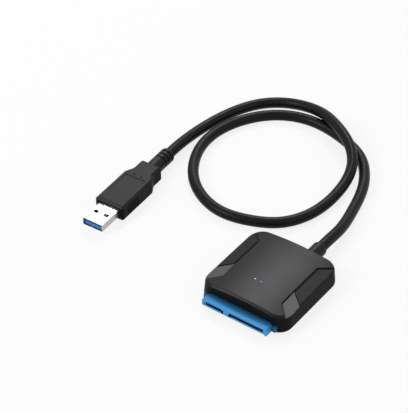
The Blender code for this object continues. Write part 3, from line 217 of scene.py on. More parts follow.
def add_node(tree, kind, settings=None, inputs=None):
    """Adds a node, sets its properties and sockets, and links the sockets given as outputs."""
    node = tree.nodes.new(kind)
    for key, value in (settings or {}).items():
        setattr(node, key, value)
    for key, value in (inputs or {}).items():
        if isinstance(value, bpy.types.NodeSocket):
            tree.links.new(value, node.inputs[key])
        else:
            node.inputs[key].default_value = value
    return node


def new_tree(owner):
    """The emptied node tree of a material or world."""
    owner.use_nodes = True
    owner.node_tree.nodes.clear()
    return owner.node_tree


def calculated(tree, operation, *values):
    """The outcome of a math node on numbers or sockets."""
    settings = {"operation": operation}
    return add_node(tree, "ShaderNodeMath", settings, dict(enumerate(values))).outputs[0]


def ranged(tree, value, start, end, low=0.0, high=1.0):
    """A value carried from the range start to end over to the range low to high."""
    inputs = {"Value": value, "From Min": start, "From Max": end, "To Min": low, "To Max": high}
    return add_node(tree, "ShaderNodeMapRange", inputs=inputs).outputs["Result"]


def mixed(tree, share, first, second, blend="MIX"):
    """A colour mixed from two others by this share."""
    settings = {"data_type": "RGBA", "blend_type": blend}
    return add_node(tree, "ShaderNodeMix", settings, {0: share, 6: first, 7: second}).outputs[2]


def noise(tree, coords, size, detail=2.0, roughness=0.5):
    """A noise between 0 and 1 with features of this size in metres."""
    inputs = {"Vector": coords, "Scale": 1 / size, "Detail": detail, "Roughness": roughness}
    return add_node(tree, "ShaderNodeTexNoise", inputs=inputs).outputs["Fac"]


# %% Floor and world
FLOOR_COLOUR = "#fbfbfb"
FLOOR_HALF = 3.0
FLOOR_GAP = 0.00003
FLOOR_WHITE = 0.82
SKY_LEVEL = 0.45


def shown_rays(tree):
    """1 for the rays that show the background: from the camera, through glass and off gloss."""
    path = add_node(tree, "ShaderNodeLightPath").outputs
    seen = calculated(tree, "MAXIMUM", path["Is Camera Ray"], path["Is Transmission Ray"])
    return calculated(tree, "MAXIMUM", seen, path["Is Glossy Ray"])


def make_floor():
    """A plain white sheet under the object, wide enough for every view."""
    sides = ((-1, -1), (1, -1), (1, 1), (-1, 1))
    mesh = bpy.data.meshes.new("floor")
    corners = [(x * FLOOR_HALF, y * FLOOR_HALF, -FLOOR_GAP) for x, y in sides]
    mesh.from_pydata(corners, [], [(0, 1, 2, 3)])
    floor = bpy.data.objects.new("floor", mesh)
    scene.collection.objects.link(floor)
    material = bpy.data.materials.new("white table")
    tree = new_tree(material)
    own = add_node(tree, "ShaderNodeBsdfDiffuse", inputs={"Color": linear(FLOOR_COLOUR)})
    shown = {"Color": linear("#ffffff"), "Strength": 1.0}
    white = add_node(tree, "ShaderNodeEmission", inputs=shown)
    share = calculated(tree, "MULTIPLY", shown_rays(tree), FLOOR_WHITE)
    surfaces = {0: share, 1: own.outputs[0], 2: white.outputs[0]}
    both = add_node(tree, "ShaderNodeMixShader", inputs=surfaces)
    add_node(tree, "ShaderNodeOutputMaterial", inputs={"Surface": both.outputs[0]})
    mesh.materials.append(material)


def make_world():
    """White to the camera and in reflections, and a softer grey sky as a light."""
    scene.world = bpy.data.worlds.new("studio")
    tree = new_tree(scene.world)
    level = ranged(tree, shown_rays(tree), 0.0, 1.0, SKY_LEVEL, 1.0)
    shown = {"Color": linear("#ffffff"), "Strength": level}
    background = add_node(tree, "ShaderNodeBackground", inputs=shown)
    add_node(tree, "ShaderNodeOutputWorld", inputs={"Surface": background.outputs[0]})


make_floor()
make_world()
scene.view_settings.view_transform = "Standard"
print("floor and world made")

# %% Lamps
MIDDLE = Vector((-0.04, 0.03, 0.0))


def add_lamp(name, place, size, power):
    """A rectangular area lamp aimed at the object's middle."""
    data = bpy.data.lights.new(name, "AREA")
    data.shape = "RECTANGLE"
    data.size, data.size_y = size
    data.energy = power
    lamp = bpy.data.objects.new(name, data)
    scene.collection.objects.link(lamp)
    lamp.location = place
    lamp.rotation_mode = "QUATERNION"
    lamp.rotation_quaternion = (MIDDLE - Vector(place)).to_track_quat("-Z", "Y")


add_lamp("rear soft box", (-0.81, 1.37, 1.72), (0.42, 0.32), 16.0)
add_lamp("front left soft box", (-0.93, -1.22, 1.22), (0.6, 0.6), 13.0)
add_lamp("right soft box", (1.4, 0.3, 1.1), (0.9, 0.9), 2.6)

# %% [markdown]
# ## How the finishes are built
# A real surface is never one flat colour. Each finish here mixes two close shades in soft
# patches, lets the gloss wander a little, and carries a fine grain in relief at its true size in
# millimetres. One function sets that up, and every material passes its own colours, gloss and
# grain to it. All patterns read Object coordinates, so they stay put on the piece whichever way
# we look at it.

# %% Finish helper
PATCH = 0.012
MICRON = 0.000001
PLAIN = (1, 1, 1)


def make_finish(
    name, shades, gloss, grain, relief, stretch=PLAIN, painted_shade=None, specular=0.5, metallic=0.0
):
    """A material of two shades in soft patches, with a roughness range, and a grain of this size in
    millimetres and this relief in microns. stretch lengthens the grain along an axis, and the shade
    tuple (axis, start, end, share) paints shade: the colour falls to that share along the axis."""
    material = bpy.data.materials.new(name)
    tree = new_tree(material)
    coords = add_node(tree, "ShaderNodeTexCoord").outputs["Object"]
    patches = noise(tree, coords, PATCH, 3.0, 0.55)
    turned = add_node(tree, "ShaderNodeMapping", inputs={"Vector": coords, "Scale": stretch})
    fine = noise(tree, turned.outputs[0], grain * MM)
    shade = mixed(tree, patches, linear(shades[0]), linear(shades[1]))
    # Painted shade: the colour falls along one axis where a neighbouring part shades it.
    if painted_shade:
        axis, start, end, least = painted_shade
        place = add_node(tree, "ShaderNodeSeparateXYZ", inputs={0: coords})
        share = ranged(tree, place.outputs[axis], start, end, 1.0, least)
        shade = mixed(tree, 1.0, shade, share, "MULTIPLY")
    wander = calculated(tree, "MULTIPLY_ADD", fine, 0.5, patches)
    bumps = {"Strength": 1.0, "Distance": relief * MICRON, "Height": fine}
    look = {
        "Base Color": shade,
        "Roughness": ranged(tree, wander, 0.5, 1.0, *gloss),
        "Normal": add_node(tree, "ShaderNodeBump", inputs=bumps).outputs["Normal"],
        "Specular IOR Level": specular,
        "Metallic": metallic,
    }
    shader = add_node(tree, "ShaderNodeBsdfPrincipled", inputs=look)
    add_node(tree, "ShaderNodeOutputMaterial", inputs={"Surface": shader.outputs["BSDF"]})
    return material


# %% [markdown]
# ## The finishes themselves
# The case is black ABS from a spark-eroded mould: a satin skin with a grain of about 0.15 mm that
# breaks reflections into a soft sheen. The lead, boot and plug are black PVC. The connector bodies
# are blue PBT, a stiff plastic with a clean satin face. The plug's shell is nickel-plated steel
# with fine drawn lines, and the contacts are gold over nickel. Some finishes are copies of these
# with light or shade painted in. The walls of the case and of the plug's moulding get copies with
# almost no reflection, and the slots a near-black blue: painted shade. The facets get a much
# lighter copy: painted light. The shell's inner faces and its sides get darker copies of the steel,
# and the blue housing darkens towards the case: painted shade as well.

# %% Finishes
DRAWN = (1, 0.05, 1)
# Painted shade: the blue housing's colour falls to a quarter over its last few millimetres towards
# the case, for the shade the case casts on it.
HOUSING_PAINTED_SHADE = (1, -0.0300, -0.0254, 0.25)
ABS = make_finish(
    "moulded ABS, black satin", ("#0e0e0f", "#101011"), (0.35, 0.38), 0.16, 3, specular=0.15
)
# Painted shade: a copy of the same ABS with almost no reflection, which keeps the case's walls and
# tray dark as if in shade.
ABS_WALL_PAINTED_SHADE = make_finish(
    "moulded ABS, dull wall", ("#161617", "#19191b"), (0.45, 0.52), 0.16, 4, specular=0.04
)
# Painted light: a much lighter copy of the same ABS for the facets that tip forward, standing in
# for the light they catch.
ABS_FACET_PAINTED_LIGHT = make_finish(
    "moulded ABS, smooth facet", ("#484849", "#4c4c4d"), (0.34, 0.38), 0.16, 2, specular=0.3
)
PVC = make_finish(
    "moulded PVC, black", ("#161617", "#19191a"), (0.38, 0.43), 0.13, 3, specular=0.16
)
# Painted shade: a darker copy of the same PVC with almost no reflection, for the moulding's side
# walls.
PVC_WALL_PAINTED_SHADE = make_finish(
    "moulded PVC, dull wall", ("#111112", "#141415"), (0.45, 0.52), 0.13, 3, specular=0.04
)
JACKET = make_finish(
    "extruded PVC jacket, black", ("#08080a", "#0b0b0d"), (0.36, 0.40), 0.25, 2, specular=0.14
)
PBT = make_finish(
    "moulded PBT, blue",
    ("#3f9cdc", "#46a2e2"), (0.42, 0.5), 0.12, 1, painted_shade=HOUSING_PAINTED_SHADE, specular=0.15,
)
# Painted shade: a near-black blue for the faces deep in the connector's slots.
PBT_SLOT_PAINTED_SHADE = make_finish(
    "moulded PBT, inside the slots", ("#0b1a27", "#0e2030"), (0.5, 0.6), 0.12, 1, specular=0.1
)
TONGUE = make_finish("moulded PBT, deep blue", ("#3180cc", "#3a8ad6"), (0.32, 0.42), 0.12, 3)
STEEL = make_finish(
    "nickel-plated steel, drawn",
    ("#e9e9e8", "#f0f0ef"), (0.34, 0.40), 0.06, 0.2, DRAWN, metallic=1.0,
)
# Painted shade: a darker copy of the same steel for the shell's sideways faces.
STEEL_SIDE_PAINTED_SHADE = make_finish(
    "nickel-plated steel, folded side",
    ("#b4b4b6", "#bebec0"), (0.34, 0.42), 0.06, 0.8, DRAWN, metallic=1.0,
)
# Painted shade: a dark, non-metallic copy of the steel for the shell's inner faces.
STEEL_INSIDE_PAINTED_SHADE = make_finish(
    "nickel-plated steel, inner face", ("#2c2c2d", "#353536"), (0.45, 0.6), 0.06, 1.2, specular=0.2
)
GOLD = make_finish(
    "gold-plated contact", ("#c99c44", "#dbb25c"), (0.22, 0.32), 0.08, 1, metallic=1.0
)
print("finishes:", [m.name for m in (ABS, PVC, JACKET, PBT, TONGUE, STEEL, GOLD)])

# %% [markdown]
# ## The cable
# A jacket is extruded, so it is perfectly round and even along its length. We sweep a circle along
# the spline and carry its frame from ring to ring without a twist, so the faces run straight along
# the cable.

# %% Cable
CABLE_SIDES = 40


def sweep(line, radius, sides):
    """Vertices, faces and normals of a closed round tube along a line of points."""
    along = np.gradient(line, axis=0)
    along /= np.linalg.norm(along, axis=1)[:, None]
    across = np.cross(along[0], (0.0, 0.0, 1.0))
    vertices, normals = [], []
    for point, ahead in zip(line, along):
        across = across - ahead * across.dot(ahead)
        across /= np.linalg.norm(across)
        third = np.cross(ahead, across)
        for i in range(sides):
            turn = 2 * math.pi * i / sides
            out = across * math.cos(turn) + third * math.sin(turn)
            vertices.append(point + out * radius)
            normals.append(out)
    faces = []
    for ring in range(len(line) - 1):
        for i in range(sides):
            j = (i + 1) % sides
            low, high = ring * sides, (ring + 1) * sides
            faces.append((low + i, low + j, high + j, high + i))
    last = (len(line) - 1) * sides
    faces.append(tuple(range(sides))[::-1])
    faces.append(tuple(range(last, last + sides)))
    return vertices, faces, normals


cable_mesh = mesh_from("cable_jacket", *sweep(cable_line, CABLE_DIAMETER / 2, CABLE_SIDES))
cable = add_piece(cable_mesh, [JACKET], ["cable"])

# %% [markdown]
# ## The case's roof, as a surface over its plan
# The roof is a shallow crown with a chamfer round it. Along each side lies a sunk panel: a rim, a
# raised pad at the rear and a facet in front that tips forward, with fine grooves between them.
# All of that is one height for each point of the plan, so we write it as a function and lay a
# mesh over the plan. The mesh gets vertices along every edge of the design by constrained
# Delaunay triangulation, and its shading normals come from the function's own slope, so edges
# stay crisp.

# %% Case sizes, in millimetres
HALF_WIDTH, HALF_DEPTH, HEIGHT = 24.9, 25.2, 12.2
CORNER, LEAN = 7.4, 0.8
CROWN_RADIUS, CROWN_LENGTH_RADIUS = 147.0, 1000.0
CHAMFER = 0.9
EDGE = 0.22
ROOF_SETBACK = 0.66
ROOF_HALF_X = HALF_WIDTH - ROOF_SETBACK
ROOF_HALF_Y = HALF_DEPTH - ROOF_SETBACK
PANEL_X, PANEL_Y = 16.7, 15.3
PANEL_STEP, PANEL_FALL, FACET_FALL = 0.30, 0.20, 0.34
GROOVE_WIDTH, GROOVE_DEPTH = 0.50, 0.34
PAD_X, PAD_REAR, PAD_FRONT, PAD_SLOPE, PAD_STEP = 17.9, 14.9, -5.1, 0.82, 0.08
PANEL = (PANEL_X, PANEL_Y, -PANEL_Y, 1.0)
PAD = (PAD_X, PAD_REAR, PAD_FRONT, PAD_SLOPE)
LIP = 0.13
LIGHTS = {"red": (-2.3, -9.3), "blue": (1.1, -9.3)}
LIGHT_RADIUS, LIGHT_RINGS = 0.60, (0.60, 0.66, 0.72, 0.80)
LINE_SPACING, RING_SPACING, GRID_SPACING = 0.7, 0.8, 0.9
LINE_RUN_OUT = 8.6
CORNER_STEPS = 20
CHAMFER_RINGS = (0.08, 0.2, 0.35, 0.5, 0.65, 0.8, 0.85, 0.9, 0.95, 1.0, 1.15, 1.5)
SINK_TURN = 0.04
HOLE_SHARE = 0.99


def smooth_step(low, high, value):
    """0 below low and 1 above high, with a smooth rise between."""
    t = np.clip((value - low) / (high - low), 0.0, 1.0)
    return t * t * (3 - 2 * t)


def hinge(value, soft):
    """Zero below and the value above, with a soft turn between."""
    bent = (value + soft) ** 2 / (4 * soft)
    return np.where(value < -soft, 0.0, np.where(value > soft, value, bent))


def inside_distance(x, y, half_x, half_y, corner):
    """How far a point lies inside a rounded rectangle."""
    past_x, past_y = np.abs(x) - half_x + corner, np.abs(y) - half_y + corner
    outer = np.hypot(np.maximum(past_x, 0), np.maximum(past_y, 0))
    return corner - outer - np.minimum(np.maximum(past_x, past_y), 0)


def crown(x, y):
    """Height of the roof's crown, which is round across and nearly flat along."""
    across = CROWN_RADIUS - np.sqrt(CROWN_RADIUS**2 - x**2)
    return HEIGHT - across - y**2 / (2 * CROWN_LENGTH_RADIUS)


# %% Height of the roof
RIM_LEVEL = float(crown(PANEL_X, PANEL_Y)) - PANEL_STEP
EDGE_LEVEL = float(crown(HALF_WIDTH - LEAN, PANEL_Y)) - PANEL_STEP - PANEL_FALL
FALL = (RIM_LEVEL - EDGE_LEVEL) / (HALF_WIDTH - LEAN - PANEL_X)
TIP = FACET_FALL / (PANEL_Y + PAD_FRONT)


def border_inside(border, x, y):
    """How far a point lies inside a border, given as (x, rear, front, slope of its front)."""
    start, rear, front, slope = border
    run = np.abs(x) - start
    behind = (rear + run - y) / math.sqrt(2)
    ahead = (y - front + run * slope) / math.hypot(1, slope)
    return np.minimum(np.minimum(run, behind), ahead)


def band(value, low, high):
    """1 between low and high, with a smooth lip at each side."""
    return smooth_step(low, low + LIP, value) * (1 - smooth_step(high - LIP, high, value))


def roof_height(x, y):
    """Height of the roof over each point of the plan, in millimetres."""
    inside = inside_distance(x, y, ROOF_HALF_X, ROOF_HALF_Y, CORNER)
    base = crown(x, y) - hinge(CHAMFER - inside, EDGE)
    run = np.abs(x) - PANEL_X
    panel, pad = border_inside(PANEL, x, y), border_inside(PAD, x, y)
    rim = RIM_LEVEL - FALL * run - TIP * hinge(PAD_FRONT - y, EDGE)
    on_pad = smooth_step(-LIP, 0.0, pad)
    level = rim + (RIM_LEVEL + PANEL_STEP - PAD_STEP - FALL * run - rim) * on_pad
    groove = np.maximum(band(panel, 0.0, GROOVE_WIDTH), band(pad, -GROOVE_WIDTH, 0.0))
    level = level - GROOVE_DEPTH * groove
    sunk = base - hinge(base - level, SINK_TURN)
    return base + (sunk - base) * smooth_step(0.0, LIP, panel)


print("roof middle and panel rim:", [round(float(roof_height(x, 0.0)), 3) for x in (0.0, 17.4)])


# %% Lines of the roof's mesh
def resampled(points, spacing):
    """The points of a line with more between them, about this far apart."""
    found = []
    for near, far in zip(points, points[1:]):
        steps = max(1, round(math.dist(near, far) / spacing))
        for i in range(steps):
            found.append(tuple(a + (b - a) * i / steps for a, b in zip(near, far)))
    return found + [tuple(points[-1])]


def roof_ring(inset):
    """A closed ring of plan points this far inside the roof's edge, counter-clockwise."""
    ring = []
    reach = CORNER - inset
    for i, (side_x, side_y) in enumerate(((1, 1), (-1, 1), (-1, -1), (1, -1))):
        for step in range(CORNER_STEPS + 1):
            turn = (i + step / CORNER_STEPS) * math.pi / 2
            x = side_x * (ROOF_HALF_X - CORNER) + reach * math.cos(turn)
            y = side_y * (ROOF_HALF_Y - CORNER) + reach * math.sin(turn)
            ring.append((x, y))
    return resampled([*ring, ring[0]], RING_SPACING)[:-1]


def border_line(border, offset, side):
    """A border moved inwards by this offset, on one side of the roof."""
    x, rear, front, slope = border
    x += offset
    rear = rear + offset - offset * math.sqrt(2)
    front = front - offset * slope + offset * math.hypot(1, slope)
    far = LINE_RUN_OUT
    line = [(x + far, rear + far), (x, rear), (x, front), (x + far, front - far * slope)]
    return resampled([(side * a, b) for a, b in line], LINE_SPACING)


def circle(middle, radius, sides=28):
    """A closed line of plan points round a middle."""
    turns = [2 * math.pi * i / sides for i in range(sides + 1)]
    return [(middle[0] + radius * math.cos(t), middle[1] + radius * math.sin(t)) for t in turns]


lip_steps = [LIP * step for step in (-0.2, 0.0, 0.2, 0.4, 0.6, 0.8, 1.0, 1.2)]
design = []
for side in (1, -1):
    for step in lip_steps:
        design += [border_line(PANEL, offset, side) for offset in (step, GROOVE_WIDTH - step)]
        design += [border_line(PAD, offset, side) for offset in (-step, step - GROOVE_WIDTH)]
for inset in CHAMFER_RINGS:
    ring = roof_ring(inset)
    design.append([*ring, ring[0]])
for place in LIGHTS.values():
    design += [circle(place, radius) for radius in LIGHT_RINGS]
print("design lines:", len(design))


# %% A mesh over a plan
MERGE, SLIVER = 1e-5, 1e-9


def plan_mesh(outline, lines, spacing, height, keep):
    """Vertices, triangles and normals of a surface over a plan, with vertices along the
    lines. height gives z from arrays of x and y, and keep says which triangles stay, by middle."""
    points, edges = [], []

    def add_line(line):
        """Adds a line's points, with an edge from each to the next."""
        start = len(points)
        points.extend(line)
        edges.extend((start + i, start + i + 1) for i in range(len(line) - 1))

    add_line([*outline, outline[0]])
    for line in lines:
        add_line(line)
    xs, ys = [p[0] for p in outline], [p[1] for p in outline]
    for j, y in enumerate(np.arange(min(ys), max(ys), spacing)):
        shift = spacing / 2 * (j % 2)
        points += [(float(x), float(y)) for x in np.arange(min(xs) + shift, max(xs), spacing)]
    made = delaunay_2d_cdt([Vector(p) for p in points], edges, [], 0, MERGE)
    flat = np.array([tuple(v) for v in made[0]])
    triangles = np.array([f for f in made[2] if len(f) == 3])
    corners = flat[triangles]
    ab, ac = corners[:, 1] - corners[:, 0], corners[:, 2] - corners[:, 0]
    area = ab[:, 0] * ac[:, 1] - ab[:, 1] * ac[:, 0]
    triangles[area < 0] = triangles[area < 0][:, ::-1]
    middle = corners.mean(axis=1)
    triangles = triangles[keep(middle[:, 0], middle[:, 1]) & (np.abs(area) > SLIVER)]
    used, triangles = np.unique(triangles, return_inverse=True)
    triangles = triangles.reshape(-1, 3)
    x, y = flat[used].T
    step = 0.004
    slope_x = (height(x + step, y) - height(x - step, y)) / (2 * step)
    slope_y = (height(x, y + step) - height(x, y - step)) / (2 * step)
    normals = np.stack([-slope_x, -slope_y, np.ones_like(x)], axis=1)
    normals /= np.linalg.norm(normals, axis=1)[:, None]
    return np.stack([x, y, height(x, y)], axis=1), triangles, normals


def boundary_loops(triangles):
    """The mesh's open edges as closed loops of vertex numbers."""
    following = {}
    seen = {(int(a), int(b)) for t in triangles for a, b in zip(t, np.roll(t, -1))}
    for a, b in seen:
        if (b, a) not in seen:
            following[a] = b
    loops = []
    while following:
        start, at = next(iter(following.items()))
        loop = [start]
        del following[start]
        while at != start:
            loop.append(at)
            at = following.pop(at)
        loops.append(loop)
    return sorted(loops, key=len, reverse=True)


# %% Roof mesh
def roof_kept(x, y):
    """Whether a triangle with this middle is roof: inside its edge, and not over a light's hole."""
    inside = inside_distance(x, y, ROOF_HALF_X, ROOF_HALF_Y, CORNER) > 1e-4
    for place in LIGHTS.values():
        inside &= np.hypot(x - place[0], y - place[1]) > LIGHT_RADIUS * HOLE_SHARE
    return inside


outline = roof_ring(0.0)
roof_points, roof_faces, roof_normals = plan_mesh(
    outline, design, GRID_SPACING, roof_height, roof_kept
)
loops = boundary_loops(roof_faces)
print("roof:", len(roof_points), "vertices,", len(roof_faces), "faces,", len(loops), "edge loops")

# %% [markdown]
# ## The case's walls and floor
# The walls lean in a little, so the shell leaves its mould. They hang from the roof's own edge:
# each edge point goes down in rows to the parting line, where the cover's rim turns in over a
# small round, and the floor tray starts with the same small round and ends in a rounded foot.
# That leaves the fine dark seam that two snapped shells show. Where the connector looks out, the
# cover's wall is open.

# %% Wall rows
PARTING = 2.5
SEAM = 0.15
RIM_ROUND = 0.12
FOOT = 2.3
WALL = 1.6


def wall_place(points, z):
    """The roof edge's points moved out along the leaning wall to this height, and their normals."""
    x, y = points[:, 0], points[:, 1]
    past_x = np.abs(x) - ROOF_HALF_X + CORNER
    past_y = np.abs(y) - ROOF_HALF_Y + CORNER
    out_x, out_y = np.maximum(past_x, 0) * np.sign(x), np.maximum(past_y, 0) * np.sign(y)
    size = np.hypot(out_x, out_y)
    out = np.stack([out_x / size, out_y / size], axis=1)
    spread = ROOF_SETBACK - LEAN * z / HEIGHT
    placed = np.stack([x * (1 + spread / ROOF_HALF_X), y * (1 + spread / ROOF_HALF_Y)], axis=1)
    return placed, out


def wall_rows(edge, rows, tops):
    """Rows of vertices and normals down a wall. A row is (inset, height, tilt): height can also be
    ("edge", offset) from the roof's own edge, and tilt is the angle of its normal above level."""
    vertices, normals = [], []
    for inset, height, tilt in rows:
        z = tops + height[1] if isinstance(height, tuple) else np.full(len(edge), float(height))
        place, out = wall_place(edge, z)
        place = place - out * inset
        vertices.append(np.column_stack([place, z]))
        side, up = math.cos(tilt), math.sin(tilt)
        normals.append(np.column_stack([out * side, np.full(len(edge), up)]))
    return vertices, normals


def arc_rows(inset, height, radius, first, last, steps):
    """Rows round a rolled edge, from one angle of its normal to another."""
    found = []
    for step in range(steps + 1):
        tilt = math.radians(first + (last - first) * step / steps)
        found.append((inset - radius * math.cos(tilt), height + radius * math.sin(tilt), tilt))
    return found


def loft(rows, keep=None):
    """Faces between rows of a closed ring. keep says by row and column which faces stay."""
    faces = []
    count = len(rows[0])
    for row in range(len(rows) - 1):
        near, far = row * count, (row + 1) * count
        for i in range(count):
            j = (i + 1) % count
            if keep is None or keep(row, i, j):
                faces.append((near + i, far + i, far + j, near + j))
    return faces


# %% Cover
WINDOW_LOW, WINDOW_HIGH = (20.75, 5.15), (17.75, 6.35)
WINDOW_SLACK, FRONT_BAND, FACET_MARGIN = 0.1, 0.5, 0.3
FIRST_LOW_ROW = 4
LEAN_TILT = math.atan(LEAN / HEIGHT)
edge_loop = loops[0]
edge = roof_points[edge_loop]
cover_rows = [
    (0.0, ("edge", 0.0), math.radians(25)),
    (0.0, ("edge", -0.09), LEAN_TILT),
    (0.0, ("edge", -0.8), LEAN_TILT),
    (0.0, WINDOW_HIGH[1], LEAN_TILT),
    (0.0, WINDOW_LOW[1], LEAN_TILT),
    *arc_rows(RIM_ROUND, PARTING + SEAM + RIM_ROUND, RIM_ROUND, 0, -90, 4),
    (WALL, PARTING + SEAM, -math.pi / 2),
]
rows, row_normals = wall_rows(edge[:, :2], cover_rows, edge[:, 2])


def cover_kept(row, i, j):
    """Leaves the cover's wall open where the connector's flange and body pass."""
    if max(edge[i][1], edge[j][1]) > FRONT_BAND - ROOF_HALF_Y:
        return True
    widest = max(abs(rows[0][i][0]), abs(rows[0][j][0]))
    if row >= FIRST_LOW_ROW:
        return widest > WINDOW_LOW[0] - WINDOW_SLACK
    return row != FIRST_LOW_ROW - 1 or widest > WINDOW_HIGH[0] - WINDOW_SLACK


wall_faces = loft(rows, cover_kept)
start = len(roof_points)
cover_vertices = np.concatenate([roof_points, *rows[1:]])
cover_normals = np.concatenate([roof_normals, *row_normals[1:]])
count = len(edge_loop)


def joined(index):
    """The wall's first row is the roof's own edge."""
    return edge_loop[index] if index < count else start + index - count


cover_faces = [tuple(f) for f in roof_faces]
cover_faces += [tuple(joined(i) for i in face) for face in wall_faces]
blend = cover_normals[edge_loop] + row_normals[0]
cover_normals[edge_loop] = blend / np.linalg.norm(blend, axis=1)[:, None]
cover_mesh = mesh_from("case_cover", cover_vertices * MM, cover_faces, cover_normals)
add_piece(cover_mesh, [ABS, ABS_FACET_PAINTED_LIGHT, ABS_WALL_PAINTED_SHADE], ["top_shell"])
# Facet faces take the lighter ABS copy, with its painted light, and wall faces the copy with
# painted shade.
middles = roof_points[roof_faces].mean(axis=1)[:, :2].T
facet_painted_light = border_inside(PANEL, *middles) > GROOVE_WIDTH
facet_painted_light &= border_inside(PAD, *middles) < -GROOVE_WIDTH
facet_painted_light &= middles[1] < PAD_FRONT + FACET_MARGIN
wears = np.concatenate([facet_painted_light.astype(int), np.full(len(wall_faces), 2)])
cover_mesh.polygons.foreach_set("material_index", wears)
print("cover:", len(cover_mesh.vertices), "vertices")

# %% Floor tray
tray_rows = [
    (WALL, PARTING, math.pi / 2),
    *arc_rows(RIM_ROUND, PARTING - RIM_ROUND, RIM_ROUND, 90, 0, 4),
    *arc_rows(FOOT, FOOT, FOOT, 0, -90, 10),
]
rows, row_normals = wall_rows(edge[:, :2], tray_rows, edge[:, 2])
tray_faces = loft(rows)
tray_faces.append([(len(rows) - 1) * count + i for i in range(count)][::-1])
tray_faces.append(list(range(count)))
tray_points, tray_normals = np.concatenate(rows) * MM, np.concatenate(row_normals)
tray_mesh = mesh_from("case_tray", tray_points, tray_faces, tray_normals)
# The tray wears the walls' copy of the ABS, with its painted shade.
add_piece(tray_mesh, [ABS_WALL_PAINTED_SHADE], ["bottom_shell"])
print("tray:", len(tray_mesh.vertices), "vertices")

# %% [markdown]
# ## The connector
# The connector's housing is one blue PBT moulding: a body in the case's window, a flange, a bar
# with two slots and an ear at each end. Its CAD shape is already exact, so we take a copy, merge
# it, join its flat triangles into whole faces, and let a narrow bevel roll every edge as a mould
# would. The plug's shell and tongue are made the same way, so the copy is a function.


# %% Copy of a CAD piece with soft edges
SHARP, FLAT = math.radians(25), math.radians(0.5)


def rounded_copy(node, name, width, finishes):
    """A piece made from a copy of a CAD node, with every sharp edge rolled a little."""
    bm = bmesh.new()
    bm.from_mesh(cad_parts[node].data)
    bmesh.ops.remove_doubles(bm, verts=bm.verts, dist=1e-6)
    bmesh.ops.dissolve_limit(bm, angle_limit=FLAT, verts=bm.verts, edges=bm.edges)
    mesh = bpy.data.meshes.new(name)
    bm.to_mesh(mesh)
    bm.free()
    mesh.shade_smooth()
    piece = add_piece(mesh, finishes, [node])
    bevel = piece.modifiers.new("soft edges", "BEVEL")
    bevel.width = width
    bevel.segments = 2
    bevel.limit_method = "ANGLE"
    bevel.angle_limit = SHARP
    bevel.harden_normals = True
    bevel.use_clamp_overlap = True
    return piece


blues = [PBT, PBT_SLOT_PAINTED_SHADE]
housing = rounded_copy("sata_housing", "sata_connector", 0.09 * MM, blues)
# Faces within this slot box take the near-black blue, with its painted shade.
SLOT_LOW, SLOT_HIGH = (-17.2, -29.9, 2.5), (17.2, -23.0, 5.35)
for polygon in housing.data.polygons:
    middle = polygon.center / MM
    if all(low < value < high for low, value, high in zip(SLOT_LOW, middle, SLOT_HIGH)):
        polygon.material_index = 1
print("housing faces before its bevel:", len(housing.data.polygons))

# %% [markdown]
# ## The contacts
# Seven signal and fifteen power contacts stand in the slots, all alike and 1.27 mm apart. One
# small bent spring is drawn in mesh code, and a node tree sets a copy on each point of a row: the
# row's spacing is the rule, so the tree repeats the spring and we don't. The tree ends with real
# geometry and its own finish, and is turned into a plain mesh before the piece joins the frame.

# %% One spring contact
STRIP = 0.22 * MM
CONTACTS = sorted(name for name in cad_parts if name.startswith("sata_contact_"))


def spring_mesh(low, high):
    """A bent strip in the box between two corners, about their middle: tail, rise and nose."""
    size = np.subtract(high, low)
    half_width, depth, height = size[0] / 2, size[1], size[2]
    line = [(0.5, -0.5), (0.1, -0.5), (-0.12, -0.25), (-0.3, 0.42), (-0.4, 0.5), (-0.5, 0.3)]
    line = [(y * depth, z * (height - STRIP)) for y, z in line]
    vertices = []
    for side in (-half_width, half_width):
        for up in (-STRIP / 2, STRIP / 2):
            vertices += [(side, y, z + up) for y, z in line]
    count = len(line)
    faces = [(0, count, 3 * count, 2 * count)]
    faces.append((count - 1, 3 * count - 1, 4 * count - 1, 2 * count - 1))
    for i in range(count - 1):
        a, b, c, d = (i + k * count for k in range(4))
        faces += [(a, a + 1, b + 1, b), (c, d, d + 1, c + 1)]
        faces += [(a, c, c + 1, a + 1), (b, b + 1, d + 1, d)]
    mesh = bpy.data.meshes.new("spring_contact")
    mesh.from_pydata(vertices, [], faces)
    face_outwards(mesh)
    return mesh


